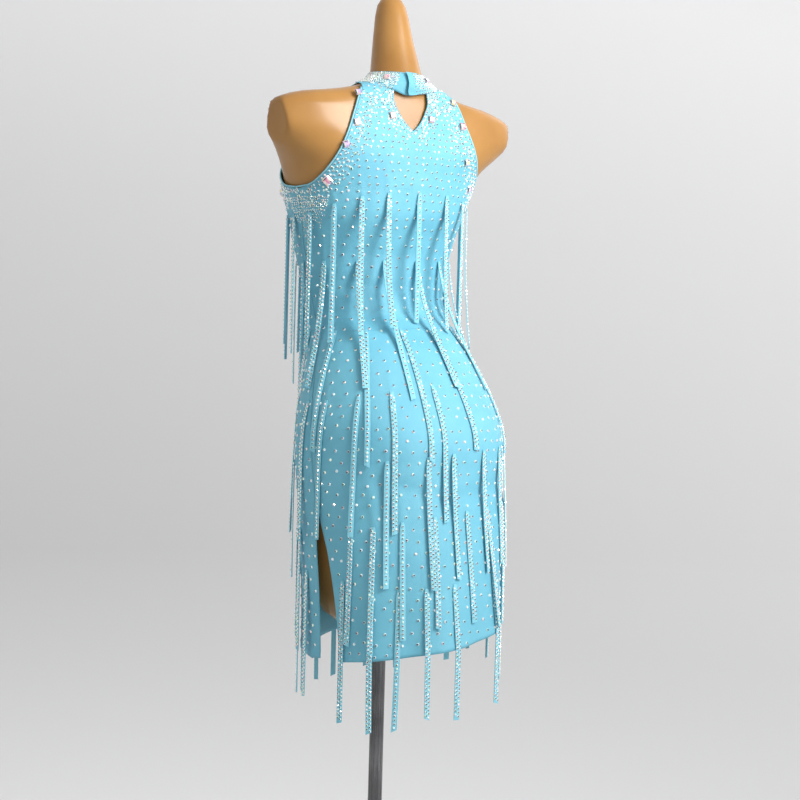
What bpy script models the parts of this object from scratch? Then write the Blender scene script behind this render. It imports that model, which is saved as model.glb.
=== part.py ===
"""A halter tassel dress on a limbless dress form, which stands on a pole with a round base.

The dress is a close tube of stretch knit with a stand-up neck band, deep armholes, a
keyhole at the centre back and a slit at the lower left side. Narrow strips hang in rows
from tapes sewn round the body, and large square stones sit on its cut edges.
Front is -Y, back is +Y, the form's left is +X, and the floor is z = 0. All sizes in metres.
"""

import math
import random

import bmesh
import bpy
from mathutils import Quaternion, Vector
from mathutils.bvhtree import BVHTree

COLLECTION_NAME = "halter_tassel_dress"

# Clearances and cloth
TOUCH_GAP = 0.0003
CLOTH_THICKNESS = 0.0012
CLOTH_REACH = 0.0045
SEAM_HALF_GAP = 0.0002
# Height step for working out which way a surface faces
NORMAL_STEP = 0.004

# Stand
BASE_RADIUS = 0.160
BASE_THICKNESS = 0.010
BASE_EDGE = 0.003
POLE_RADIUS = 0.011
SOCKET_RADIUS = 0.019
SOCKET_HEIGHT = 0.035
SOCKET_FOOT = 0.012
SOCKET_EDGE = 0.002
FLANGE_RADIUS = 0.042
FLANGE_THICKNESS = 0.005

# Height on the form where the dress meets its neck band
NECK_SEAM = 1.424

# Dress form: rows from the top down.
# Columns: height, half width, centre y, depth to the back, depth to the front, squareness.
FORM_SECTIONS = [
    (1.565, 0.009, -0.014, 0.010, 0.010, 2.0),
    (1.562, 0.016, -0.014, 0.016, 0.016, 2.0),
    (1.552, 0.022, -0.013, 0.022, 0.022, 2.0),
    (1.535, 0.026, -0.011, 0.026, 0.026, 2.0),
    (1.500, 0.031, -0.006, 0.031, 0.031, 2.0),
    (1.446, 0.041, 0.006, 0.0365, 0.0395, 2.0),
    (1.437, 0.050, 0.010, 0.036, 0.044, 2.0),
    (1.424, 0.070, 0.011, 0.035, 0.046, 2.0),
    (1.414, 0.112, 0.006, 0.038, 0.052, 2.0),
    (1.403, 0.178, 0.002, 0.042, 0.058, 2.1),
    (1.385, 0.215, 0.000, 0.047, 0.061, 2.3),
    (1.360, 0.222, -0.003, 0.056, 0.070, 2.3),
    (1.330, 0.196, -0.010, 0.069, 0.088, 2.3),
    (1.300, 0.166, -0.024, 0.083, 0.102, 2.4),
    (1.270, 0.149, -0.031, 0.088, 0.108, 2.4),
    (1.235, 0.137, -0.033, 0.087, 0.112, 2.3),
    (1.190, 0.127, -0.040, 0.079, 0.104, 2.2),
    (1.160, 0.120, -0.042, 0.073, 0.094, 2.2),
    (1.120, 0.113, -0.042, 0.072, 0.085, 2.2),
    (1.080, 0.109, -0.034, 0.075, 0.081, 2.2),
    (1.050, 0.115, -0.015, 0.085, 0.084, 2.2),
    (1.020, 0.126, 0.001, 0.098, 0.087, 2.2),
    (0.980, 0.140, 0.016, 0.112, 0.090, 2.2),
    (0.940, 0.152, 0.026, 0.124, 0.093, 2.2),
    (0.900, 0.160, 0.031, 0.132, 0.094, 2.2),
    (0.860, 0.162, 0.033, 0.135, 0.094, 2.2),
    (0.820, 0.158, 0.030, 0.127, 0.091, 2.2),
    (0.760, 0.150, 0.023, 0.110, 0.086, 2.2),
    (0.700, 0.140, 0.016, 0.096, 0.080, 2.2),
    (0.650, 0.124, 0.011, 0.081, 0.071, 2.1),
    (0.620, 0.102, 0.008, 0.064, 0.057, 2.0),
    (0.605, 0.078, 0.005, 0.048, 0.044, 2.0),
    (0.600, 0.055, 0.003, 0.044, 0.042, 2.0),
]
FORM_SIDES = 40
SHOULDER_LEVEL = 1.370
ARM_CUT_X = 0.210
ARM_CUT_HEIGHT = 1.395
ARM_CUT_LEAN = 0.20
# The figure stands with its left shoulder a little higher.
SHOULDER_TILT = 0.03
TILT_START = 1.29
TILT_FULL = 1.39

# Soft swells of the figure, on the form and on the cloth over it.
# Columns: angle in degrees, height, spread in degrees, spread in height, rise.
SWELLS = [
    (244, 1.258, 28, 0.050, 0.017),
    (296, 1.258, 28, 0.050, 0.017),
    (66, 0.885, 26, 0.055, 0.012),
    (114, 0.885, 26, 0.055, 0.012),
]

# Skirt cloth below the hip, where it hangs clear of the form. Same columns as the form.
HIP_HEIGHT = 0.860
SKIRT_SECTIONS = [
    (0.807, 0.164, 0.040, 0.142, 0.107, 2.2),
    (0.750, 0.159, 0.046, 0.146, 0.118, 2.2),
    (0.650, 0.151, 0.054, 0.152, 0.126, 2.2),
    (0.540, 0.146, 0.061, 0.157, 0.134, 2.2),
]
# How far the left side seam leans back down the hip. Columns: height, angle in degrees.
SEAM_LEAN = [(1.120, 0.0), (0.957, 4.0), (0.860, 8.5), (0.807, 8.5), (0.700, 6.0), (0.540, 3.5)]
SLIT_TOP = 0.807
SLIT_FRONT_ANGLE = -2.0
SLIT_OPENING_REACH = 0.03
# The back edge of the slit. Columns: height, angle from the seam in degrees.
SLIT_BACK_EDGE = [(0.807, 0.0), (0.770, 2.0), (0.720, 7.0), (0.640, 11.0), (0.540, 14.0)]
# The hem, which rises round to the right side. Columns: angle in degrees, height.
HEM = [(360, 0.557), (270, 0.582), (180, 0.616), (150, 0.614), (90, 0.586), (0, 0.558)]
HEM_LOWEST = 0.557

# Soft folds that fall from the hips to the hem.
# Columns: angle in degrees, spread in degrees, rise at the hem (minus is a trough).
FLUTES = [
    (38, 9, 0.005), (62, 8, -0.006), (84, 9, 0.006), (104, 8, -0.005), (124, 9, 0.006),
    (143, 9, -0.006), (160, 9, 0.005), (200, 10, -0.005), (225, 11, 0.006), (252, 11, -0.006),
    (276, 11, 0.006), (302, 11, -0.005), (326, 10, 0.006),
]
FLUTE_TOP = 0.790

# Dress panels
UNDERARM_HEIGHT = 1.255
PANEL_LEVELS = [
    1.4270, 1.4170, 1.4050, 1.386, 1.368, 1.357, 1.336, 1.314, 1.297, 1.281, 1.268, 1.255,
    1.235, 1.215, 1.185, 1.155, 1.120, 1.080, 1.043, 1.003, 0.957, 0.910, 0.860, 0.807,
]
SKIRT_ROWS = 5
HALF_COLUMNS = 10
# Cut edge of the armhole. Columns: height, half width of the back, half width of the front.
ARMHOLE = [
    (1.427, 0.0770, 0.0600), (1.417, 0.0810, 0.0640), (1.405, 0.0880, 0.0710),
    (1.386, 0.0960, 0.0820), (1.357, 0.1080, 0.0970), (1.336, 0.1170, 0.1090),
    (1.314, 0.1265, 0.1220), (1.297, 0.1340, 0.1340), (1.281, 0.1415, 0.1430),
    (1.268, 0.1490, 0.1505), (1.255, 0.2000, 0.2000),
]
# Keyhole at the centre back. Columns: height, half width.
KEYHOLE = [
    (1.427, 0.0260), (1.417, 0.0295), (1.405, 0.0310), (1.386, 0.0240), (1.368, 0.0120),
    (1.357, 0.0000),
]
KEYHOLE_TIP = 1.357

# Neck band and its overlap tab. Columns: height, gap from the form.
BAND_LEVELS = [(1.446, 0.0008), (1.437, 0.0012), (1.4295, 0.0048)]
BAND_SIDES = 40
BAND_THICKNESS = 0.0016
TAB_ANGLES = (88, 99)
TAB_THICKNESS = 0.0010

# Armhole bindings
BINDING_WIDTH = 0.0026
BINDING_THICKNESS = 0.0022
BINDING_GAP = 0.0004

# Fringe: strips hanging from tapes. Columns: name, tape height at the left side, at the
# centre back and at the right side, length, angles of the strips on the back and left, then
# the first angle, last angle and number of the evenly spaced strips on the rest.
FRINGE_ROWS = [
    ("fringe_row_1", 1.226, 1.264, 1.236, 0.212, (12, 37, 60, 77, 92, 112, 133), 153, 352, 11),
    ("fringe_row_2", 1.156, 1.160, 1.162, 0.195, (25, 56, 77, 100, 126), 150, 357, 9),
    ("fringe_row_3", 1.050, 1.058, 1.060, 0.190, (26, 53, 81, 103, 133), 158, 350, 9),
    ("fringe_row_4", 0.945, 0.974, 0.980, 0.198, (18, 42, 63, 88), 150, 362, 10),
    ("fringe_row_5", 0.852, 0.873, 0.886, 0.185, (58, 79, 92, 110, 126), 146, 335, 10),
    ("fringe_row_6", 0.752, 0.785, 0.798, 0.175, (32, 47, 63, 82, 98, 114), 133, 347, 13),
    ("fringe_row_7", 0.690, 0.682, 0.745, 0.205, (24, 42, 58, 74, 90, 118), 138, 352, 13),
]
TAPE_HEIGHT = 0.0040
TAPE_THICKNESS = 0.0012
TAPE_GAP = 0.0005
# Longest straight run of a tape, in degrees
TAPE_RUN = 13.0
STRIP_WIDTH = 0.0085
STRIP_CLEARANCE = 0.0024
STRIP_RISE = 0.010
# Shares of a strip's length at which it may bend
STRIP_BENDS = (0.0, 0.08, 0.31, 0.54, 0.77, 1.0)
LOOK_AHEAD = 0.20
PROBES = 5
PROBE_REACH = 0.12
PROBE_SIDE = 0.001
STRIP_SPREAD = 0.8
LENGTH_SPREAD = 0.07
SLIT_MARGIN = 4.0
SEED = 21

# Large square stones. Columns: name, angle in degrees, height, side, turn in degrees, carrier.
STONE_HEIGHT = 0.0035
STONE_TABLE = 0.6
STONE_SEAT = 0.0006
STONES = [
    ("stone_band_left", 45, 1.436, 0.0095, 0, "band"),
    ("stone_band_back", 128, 1.437, 0.0095, 0, "band"),
    ("stone_band_front_left", 300, 1.4410, 0.0085, 0, "band"),
    ("stone_band_front", 262, 1.4410, 0.0085, 0, "band"),
    ("stone_neck_left", 60, 1.408, 0.0100, 10, "panel"),
    ("stone_neck_right", 117, 1.409, 0.0100, -10, "panel"),
    ("stone_keyhole_left", 83, 1.378, 0.0115, 10, "panel"),
    ("stone_keyhole_right", 97, 1.378, 0.0115, -10, "panel"),
    ("stone_shoulder_left", 67.5, 1.3625, 0.0120, 5, "panel"),
    ("stone_shoulder_right", 112, 1.373, 0.0120, 0, "panel"),
    ("stone_armhole_left", 57.5, 1.330, 0.0110, 20, "panel"),
    ("stone_armhole_right", 120, 1.316, 0.0110, 10, "panel"),
    ("stone_underarm_left", 35, 1.276, 0.0140, 45, "panel"),
    ("stone_underarm_right", 137, 1.276, 0.0110, 10, "panel"),
    ("stone_bust_side_left", 322, 1.262, 0.0110, 20, "panel"),
    ("stone_bust_side_right", 218, 1.262, 0.0110, -20, "panel"),
]

# Finishes. Columns: base colour (linear), roughness, metallic.
FINISHES = {
    "dress_cloth": ((0.19, 0.55, 0.70, 1.0), 0.75, 0.0),
    "fringe_cloth": ((0.22, 0.60, 0.75, 1.0), 0.75, 0.0),
    "form_shell": ((0.50, 0.26, 0.09, 1.0), 0.18, 0.0),
    "stand_steel": ((0.12, 0.12, 0.13, 1.0), 0.35, 0.9),
    "stones": ((0.85, 0.78, 0.88, 1.0), 0.08, 0.0),
}


def blend_rows(rows, height):
    """Values at one height from rows listed from the top down, without overshoot."""
    if height >= rows[0][0]:
        return tuple(rows[0][1:])
    if height <= rows[-1][0]:
        return tuple(rows[-1][1:])
    index = next(i for i in range(len(rows) - 1) if rows[i + 1][0] <= height)
    upper, lower = rows[index], rows[index + 1]
    gap = lower[0] - upper[0]
    t = (height - upper[0]) / gap
    values = []
    for column in range(1, len(upper)):
        slope = (lower[column] - upper[column]) / gap
        start = limited_slope(rows, index, column, slope)
        end = limited_slope(rows, index + 1, column, slope)
        values.append(
            upper[column] * (1 + 2 * t) * (1 - t) ** 2
            + lower[column] * t * t * (3 - 2 * t)
            + gap * (start * t * (1 - t) ** 2 - end * t * t * (1 - t))
        )
    return tuple(values)


def limited_slope(rows, index, column, fallback):
    """Slope at one row: the harmonic mean of the slopes on both sides of it."""
    if index == 0 or index == len(rows) - 1:
        return fallback
    above, here, below = rows[index - 1], rows[index], rows[index + 1]
    first = (here[column] - above[column]) / (here[0] - above[0])
    second = (below[column] - here[column]) / (below[0] - here[0])
    if first * second <= 0:
        return 0.0
    return 2 * first * second / (first + second)


def angle_gap(first, second):
    """Smallest difference between two angles in degrees."""
    return (first - second + 180) % 360 - 180


def swell(angle, height):
    """Rise of the bust and seat at one place."""
    rise = 0.0
    for centre, level, spread, reach, amount in SWELLS:
        across = angle_gap(angle, centre) / spread
        along = (height - level) / reach
        rise += amount * math.exp(-across * across - along * along)
    return rise


def flute(angle, height):
    """Rise of the skirt's folds, which grow from the hips to the hem."""
    if height >= FLUTE_TOP:
        return 0.0
    growth = ((FLUTE_TOP - height) / (FLUTE_TOP - HEM_LOWEST)) ** 1.4
    total = 0.0
    for centre, spread, rise in FLUTES:
        total += rise * math.exp(-((angle_gap(angle, centre) / spread) ** 2))
    return total * growth


def ring_point(section, height, angle, outward):
    """Point and outward direction on a rounded section, at an angle in degrees."""
    half_width, centre_y, back, front, squareness = section
    turn = math.radians(angle)
    cosine, sine = math.cos(turn), math.sin(turn)
    depth = back if sine >= 0 else front
    power = 2.0 / squareness
    x = half_width * math.copysign(abs(cosine) ** power, cosine)
    y = depth * math.copysign(abs(sine) ** power, sine)
    slope_x = math.copysign(abs(cosine) ** (2 - power), cosine) / half_width
    slope_y = math.copysign(abs(sine) ** (2 - power), sine) / depth
    normal = Vector((slope_x, slope_y, 0.0)).normalized()
    tilt = min(1.0, max(0.0, (height - TILT_START) / (TILT_FULL - TILT_START)))
    rise = SHOULDER_TILT * x * tilt * tilt * (3 - 2 * tilt)
    return Vector((x, y + centre_y, height + rise)) + normal * outward, normal


def form_point(angle, height):
    """Point on the form's skin, with the flat cuts where the arms would be."""
    point, _ = ring_point(blend_rows(FORM_SECTIONS, height), height, angle, swell(angle, height))
    if height > UNDERARM_HEIGHT:
        limit = ARM_CUT_X - ARM_CUT_LEAN * abs(height - ARM_CUT_HEIGHT)
        point.x = max(-limit, min(limit, point.x))
    return point


def dress_rows():
    """Sections of the cloth's outer face, which lies on the shoulders, down to the hem."""
    rows = []
    for index, row in enumerate(FORM_SECTIONS):
        height, half_width, centre_y, back, front, squareness = row
        if HIP_HEIGHT <= height <= NECK_SEAM:
            above, below = FORM_SECTIONS[index - 1], FORM_SECTIONS[index + 1]
            slope = Vector((above[0] - below[0], max(0.0, below[1] - above[1]))).normalized()
            rows.append((height + CLOTH_REACH * slope.y, half_width + CLOTH_REACH * slope.x,
                         centre_y, back + CLOTH_REACH, front + CLOTH_REACH, squareness))
    return rows + SKIRT_SECTIONS


DRESS_SECTIONS = dress_rows()


def dress_point(angle, height, outward=0.0):
    """Point on the cloth's outer face, moved out, and its horizontal outward direction."""
    rise = swell(angle, height) + flute(angle, height) + outward
    return ring_point(blend_rows(DRESS_SECTIONS, height), height, angle, rise)


def dress_normal(angle, height):
    """Outward direction of the cloth, worked out from its neighbours."""
    across = dress_point(angle + 1, height)[0] - dress_point(angle - 1, height)[0]
    above, below = (dress_point(angle, level)[0]
                    for level in (height + NORMAL_STEP, height - NORMAL_STEP))
    return across.cross(above - below).normalized()


def angle_at_width(height, half_width):
    """Angle on the left back, from the side, where the cloth is this far from the centre."""
    section = blend_rows(DRESS_SECTIONS, height)
    share = min(1.0, half_width / section[0])
    return math.degrees(math.acos(share ** (section[4] / 2.0)))


def hem_height(angle):
    """Height of the hem at one angle."""
    return blend_rows(HEM, angle % 360)[0]


def seam_angle(height):
    """Half the side seam's gap, as an angle."""
    section = blend_rows(DRESS_SECTIONS, height)
    return math.degrees(SEAM_HALF_GAP / min(section[2], section[3])) + 0.05


def seam_lean(height):
    """Angle of the left side seam, which leans back down the hip."""
    return blend_rows(SEAM_LEAN, height)[0]


def slit_back_angle(height):
    """How far the back panel's edge along the slit stands back from the seam."""
    return blend_rows(SLIT_BACK_EDGE, height)[0]


def collection():
    """The collection that holds the parts."""
    found = bpy.data.collections.get(COLLECTION_NAME)
    if found is None:
        found = bpy.data.collections.new(COLLECTION_NAME)
        bpy.context.scene.collection.children.link(found)
    return found


def finish_material(name):
    """The material of one finish, made once."""
    found = bpy.data.materials.get(name)
    if found is None:
        colour, roughness, metallic = FINISHES[name]
        found = bpy.data.materials.new(name)
        found.use_nodes = True
        shader = found.node_tree.nodes["Principled BSDF"]
        shader.inputs["Base Color"].default_value = colour
        shader.inputs["Roughness"].default_value = roughness
        shader.inputs["Metallic"].default_value = metallic
    return found


def add_object(name, bm, finish, smooth=True):
    """Turn a bmesh into a named part with its material."""
    bmesh.ops.recalc_face_normals(bm, faces=bm.faces)
    mesh = bpy.data.meshes.new(name)
    bm.to_mesh(mesh)
    bm.free()
    part = bpy.data.objects.new(name, mesh)
    collection().objects.link(part)
    mesh.materials.append(finish_material(finish))
    if smooth:
        mesh.shade_smooth()
        mesh.set_sharp_from_angle(angle=math.radians(40))
    return part


def loft(bm, rings, closed=True):
    """Faces between rings of points; every ring has the same count."""
    made = [[bm.verts.new(point) for point in ring] for ring in rings]
    count = len(made[0])
    last = count if closed else count - 1
    for upper, lower in zip(made, made[1:]):
        for i in range(last):
            j = (i + 1) % count
            bm.faces.new((upper[i], upper[j], lower[j], lower[i]))
    return made


def make_dress_form():
    """Smooth limbless torso with a neck column and a rounded lower end."""
    heights = [row[0] for row in FORM_SECTIONS if row[0] > SHOULDER_LEVEL]
    heights += [level for level in PANEL_LEVELS if HIP_HEIGHT <= level < SHOULDER_LEVEL]
    heights += [row[0] for row in FORM_SECTIONS if row[0] < HIP_HEIGHT]
    angles = [360 * i / FORM_SIDES for i in range(FORM_SIDES)]
    bm = bmesh.new()
    rings = loft(bm, [[form_point(angle, height) for angle in angles] for height in heights])
    bm.faces.new(rings[0])
    bm.faces.new(rings[-1])
    return add_object("dress_form", bm, "form_shell")


def make_turned(name, profile, finish, sides):
    """Solid of revolution from a closed profile of radius and height."""
    bm = bmesh.new()
    points = [bm.verts.new((radius, 0, height)) for radius, height in profile]
    for first, second in zip(points, points[1:] + points[:1]):
        bm.edges.new((first, second))
    mesh = bpy.data.meshes.new(name)
    bm.to_mesh(mesh)
    bm.free()
    part = bpy.data.objects.new(name, mesh)
    collection().objects.link(part)
    mesh.materials.append(finish_material(finish))
    screw = part.modifiers.new("turn", "SCREW")
    screw.steps = sides
    screw.render_steps = sides
    screw.use_merge_vertices = True
    screw.merge_threshold = 0.00001
    screw.use_smooth_shade = True
    return part


def make_stand():
    """Round base, pole, and the sockets at both ends of the pole."""
    form_bottom = FORM_SECTIONS[-1][0]
    flange_top = form_bottom - TOUCH_GAP
    flange_base = flange_top - FLANGE_THICKNESS
    pole_bottom = BASE_THICKNESS + TOUCH_GAP
    bore = POLE_RADIUS + TOUCH_GAP
    bm = bmesh.new()
    bmesh.ops.create_cone(bm, cap_ends=True, segments=48, radius1=BASE_RADIUS,
                          radius2=BASE_RADIUS, depth=BASE_THICKNESS)
    base = add_object("base_plate", bm, "stand_steel")
    base.location.z = BASE_THICKNESS / 2
    bevel = base.modifiers.new("edge", "BEVEL")
    bevel.width = BASE_EDGE
    bevel.segments = 2
    bevel.limit_method = "ANGLE"
    pole_height = flange_top - FLANGE_THICKNESS - TOUCH_GAP - pole_bottom
    bm = bmesh.new()
    bmesh.ops.create_cone(bm, cap_ends=True, segments=24, radius1=POLE_RADIUS,
                          radius2=POLE_RADIUS, depth=pole_height)
    pole = add_object("pole", bm, "stand_steel")
    pole.location.z = pole_bottom + pole_height / 2
    low = BASE_THICKNESS + TOUCH_GAP
    foot = SOCKET_RADIUS + SOCKET_FOOT
    make_turned("base_socket", [
        (bore, low + SOCKET_HEIGHT), (SOCKET_RADIUS - SOCKET_EDGE, low + SOCKET_HEIGHT),
        (SOCKET_RADIUS, low + SOCKET_HEIGHT - SOCKET_EDGE), (SOCKET_RADIUS, low + 0.006),
        (foot, low + 0.004), (foot, low), (bore, low),
    ], "stand_steel", 24)
    make_turned("form_flange", [
        (0.0, flange_top), (FLANGE_RADIUS, flange_top), (FLANGE_RADIUS, flange_base),
        (SOCKET_RADIUS, flange_base - SOCKET_EDGE), (SOCKET_RADIUS, flange_base - SOCKET_HEIGHT),
        (bore, flange_base - SOCKET_HEIGHT), (bore, flange_base), (0.0, flange_base),
    ], "stand_steel", 24)


def row_heights(angle):
    """Heights of the panel's rows at one angle, down to the hem."""
    low = hem_height(angle)
    extra = [SLIT_TOP + (low - SLIT_TOP) * (k / SKIRT_ROWS) for k in range(1, SKIRT_ROWS + 1)]
    return PANEL_LEVELS + extra


def table_width(rows, height, column):
    """Linear value from a table of cut edges."""
    for upper, lower in zip(rows, rows[1:]):
        if upper[0] >= height >= lower[0]:
            t = (upper[0] - height) / (upper[0] - lower[0])
            return upper[column] + (lower[column] - upper[column]) * t
    return rows[-1][column]


def panel_edges(height, side):
    """Angles of a panel's left edge, centre-left, centre-right and right edge."""
    left = seam_angle(height)
    right = 180 - left
    if height > UNDERARM_HEIGHT:
        column = 1 if side == "back" else 2
        left = max(left, angle_at_width(height, table_width(ARMHOLE, height, column)))
        right = 180 - left
    lean = seam_lean(height)
    if side == "front":
        return lean + SLIT_FRONT_ANGLE * slit_growth(height) - left, -90, -90, -right
    left += lean
    if height < SLIT_TOP:
        left += slit_back_angle(height)
    opening = 0.0
    if height > KEYHOLE_TIP:
        opening = 90 - angle_at_width(height, table_width(KEYHOLE, height, 1))
    return left, 90 - opening, 90 + opening, right


def slit_growth(height):
    """How far the front edge of the slit has opened, from 0 at its top to 1."""
    return max(0.0, min(1.0, (SLIT_TOP - height) / SLIT_OPENING_REACH))


def panel_columns(height, side):
    """Angles of one row, as the left half and the right half of the panel."""
    left, centre_left, centre_right, right = panel_edges(height, side)
    shares = [k / HALF_COLUMNS for k in range(HALF_COLUMNS + 1)]
    first = [left + (centre_left - left) * share for share in shares]
    second = [centre_right + (right - centre_right) * share for share in shares]
    return first, second


def make_panel(name, side):
    """One panel of the dress: a wall of cloth from the neck seam to the hem."""
    bm = bmesh.new()
    for half in (0, 1):
        rings = []
        for index in range(len(PANEL_LEVELS) + SKIRT_ROWS):
            ring = []
            for column in range(HALF_COLUMNS + 1):
                height = PANEL_LEVELS[min(index, len(PANEL_LEVELS) - 1)]
                angle = panel_columns(height, side)[half][column]
                if index >= len(PANEL_LEVELS):
                    height = row_heights(angle)[index]
                    angle = panel_columns(height, side)[half][column]
                ring.append(dress_point(angle, height)[0])
            rings.append(ring)
        loft(bm, rings, closed=False)
    bmesh.ops.remove_doubles(bm, verts=bm.verts, dist=0.00001)
    panel = add_object(name, bm, "dress_cloth")
    turn_outward(panel)
    solidify = panel.modifiers.new("cloth", "SOLIDIFY")
    solidify.thickness = CLOTH_THICKNESS
    solidify.offset = -1.0
    return panel


def turn_outward(part):
    """Make an open wall's faces point away from the body's axis."""
    mesh = part.data
    score = sum(face.normal.dot(Vector((face.center.x, face.center.y, 0)))
                for face in mesh.polygons)
    if score < 0:
        mesh.flip_normals()


def band_point(angle, height, outward):
    """Point on the neck band, moved out from the form's neck."""
    section = blend_rows(FORM_SECTIONS, height)
    return ring_point(section, height, angle, outward)[0]


def band_face(height):
    """Gap from the form to the band's outer face at one height."""
    return table_width(BAND_LEVELS, height, 1) + BAND_THICKNESS


def make_neck_band():
    """Stand-up band round the neck, seated on the form's neck."""
    angles = [360 * i / BAND_SIDES for i in range(BAND_SIDES)]
    outline = BAND_LEVELS + [(height, band_face(height)) for height, _ in reversed(BAND_LEVELS)]
    bm = bmesh.new()
    rings = [[band_point(angle, height, gap) for angle in angles] for height, gap in outline]
    loft(bm, rings + rings[:1])
    bmesh.ops.remove_doubles(bm, verts=bm.verts, dist=0.00001)
    return add_object("neck_band", bm, "dress_cloth")


def make_neck_tab():
    """Short tongue of cloth that closes the band at the centre back."""
    inner = [(height, band_face(height) + TOUCH_GAP) for height, _ in BAND_LEVELS]
    outline = inner + [(height, gap + TAB_THICKNESS) for height, gap in reversed(inner)]
    start, end = TAB_ANGLES
    bm = bmesh.new()
    columns = []
    for step in range(3):
        angle = start + (end - start) * step / 2
        columns.append([band_point(angle, height, gap) for height, gap in outline])
    rings = loft(bm, columns)
    bm.faces.new(rings[0])
    bm.faces.new(rings[-1])
    return add_object("neck_tab", bm, "dress_cloth")


def armhole_route(mirror):
    """Places along one armhole, from the back neck under the arm to the front neck."""
    levels = [height for height in PANEL_LEVELS if UNDERARM_HEIGHT <= height < PANEL_LEVELS[0]]
    back = [(panel_edges(height, "back")[0], height) for height in levels[:-1]]
    front = [(panel_edges(height, "front")[0], height) for height in levels[:-1]]
    route = back + [(0.0, UNDERARM_HEIGHT)] + front[::-1]
    return [(180 - angle if mirror else angle, height) for angle, height in route]


def make_binding(name, mirror):
    """Narrow binding on the cut edge of one armhole."""
    route = armhole_route(mirror)
    points = [dress_point(angle, height)[0] for angle, height in route]
    sections = []
    for index, (angle, height) in enumerate(route):
        normal = dress_normal(angle, height)
        before = points[max(0, index - 1)]
        after = points[min(len(points) - 1, index + 1)]
        away = (after - before).cross(normal).normalized() * (-1 if mirror else 1)
        half = normal * (BINDING_THICKNESS / 2)
        near = points[index] - normal * (CLOTH_THICKNESS / 2) + away * BINDING_GAP
        far = near + away * BINDING_WIDTH
        sections.append([near - half, near + half, far + half, far - half])
    bm = bmesh.new()
    rings = loft(bm, sections)
    bm.faces.new(rings[0])
    bm.faces.new(rings[-1])
    return add_object(name, bm, "dress_cloth")


def search_tree(carriers):
    """Search tree of what a strip may fall on: the panels' outer faces and the rows below."""
    vertices, faces = [], []
    for carrier in carriers:
        start = len(vertices)
        vertices += [vertex.co.copy() for vertex in carrier.data.vertices]
        faces += [[start + i for i in face.vertices] for face in carrier.data.polygons]
    return BVHTree.FromPolygons(vertices, faces)


def strip_angles(row):
    """Angles of a row's strips: those set singly, then the evenly spaced ones."""
    _, _, _, _, _, single, first, last, count = row
    return list(single) + [first + (last - first) * k / (count - 1) for k in range(count)]


def tape_height(row, angle):
    """Height of a row's tape, blended between the left side, the back and the right side."""
    left, back, right = row[1:4]
    share = (1 - math.cos(math.radians(angle))) / 2
    sides = left + (right - left) * share
    bow = max(0.0, math.sin(math.radians(angle))) ** 1.5
    return sides + (back - (left + right) / 2) * bow


def tape_lifts(tree, row, angles, closed):
    """Gap of the tape from the wall at each place, so that its straight runs stay clear."""
    lifts = [TAPE_GAP] * len(angles)
    count = len(angles)
    for index in range(count if closed else count - 1):
        after = (index + 1) % count
        for level in (0.0, TAPE_HEIGHT / 2, TAPE_HEIGHT):
            ends = []
            for angle in (angles[index], angles[after]):
                point, normal = dress_point(angle, tape_height(row, angle) - level)
                ends.append((point + normal * wall_offset(tree, point, normal), normal))
            for probe in range(1, PROBES):
                share = probe / PROBES
                place = ends[0][0].lerp(ends[1][0], share)
                normal = ends[0][1].lerp(ends[1][1], share).normalized()
                need = wall_offset(tree, place, normal) + TAPE_GAP
                lifts[index] = max(lifts[index], need)
                lifts[after] = max(lifts[after], need)
    return lifts


def tape_section(tree, angle, height, lift):
    """Corners of the tape at one place: inner top, outer top, outer bottom, inner bottom."""
    corners = []
    for level, gap in ((height, lift), (height, lift + TAPE_THICKNESS),
                       (height - TAPE_HEIGHT, lift + TAPE_THICKNESS),
                       (height - TAPE_HEIGHT, lift)):
        point, normal = dress_point(angle, level)
        corners.append(point + normal * (wall_offset(tree, point, normal) + gap))
    return corners


def wall_offset(tree, point, normal):
    """How far the faceted wall lies outward from a point, felt beside it too."""
    farthest = -PROBE_REACH
    for side in (-PROBE_SIDE, 0.0, PROBE_SIDE):
        start = point + Vector((-normal.y, normal.x, 0.0)) * side + normal * PROBE_REACH
        hit = tree.ray_cast(start, -normal, PROBE_REACH * 2)[0]
        if hit is not None:
            farthest = max(farthest, (hit - point).dot(normal))
    return farthest


def strip_sections(tree, corners, length):
    """Lower corners of a strip, which falls straight once it has left the fullest point."""
    near_outer, near_inner, far_inner, far_outer = corners
    middle = (near_inner + far_inner) / 2
    normal = (near_outer + far_outer) / 2 - middle
    normal.z = 0.0
    normal.normalize()
    across = Vector((-normal.y, normal.x, 0.0))
    across *= math.copysign(STRIP_WIDTH / 2, across.dot(near_inner - far_inner))
    thick = normal * TAPE_THICKNESS
    levels = [middle.z - length * share for share in STRIP_BENDS]
    levels.append(levels[-1])
    reach = 0.0
    sections = []
    for above, low, below in zip(levels, levels[1:], levels[2:]):
        deepest = low + (below - low) * LOOK_AHEAD
        for probe in range(PROBES + 1):
            level = above + (deepest - above) * probe / PROBES
            gap = STRIP_CLEARANCE + STRIP_RISE * (middle.z - level)
            for side in (-1, 0, 1):
                place = Vector((middle.x, middle.y, level)) + across * side
                reach = max(reach, wall_offset(tree, place, normal) + gap)
        inner = Vector((middle.x, middle.y, low)) + normal * reach
        sections.append([inner + across + thick, inner + across, inner - across,
                         inner - across + thick])
    return sections


def ring_span(row):
    """Start and end angle of a row: all round, or from the slit round to the slit."""
    lowest = min(row[1:4])
    if lowest > SLIT_TOP + 0.01:
        return 0.0, 360.0, True
    start = seam_lean(lowest) + slit_back_angle(lowest) + SLIT_MARGIN
    end = 360 + seam_lean(lowest) + SLIT_FRONT_ANGLE - SLIT_MARGIN
    return start, end, False


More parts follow.
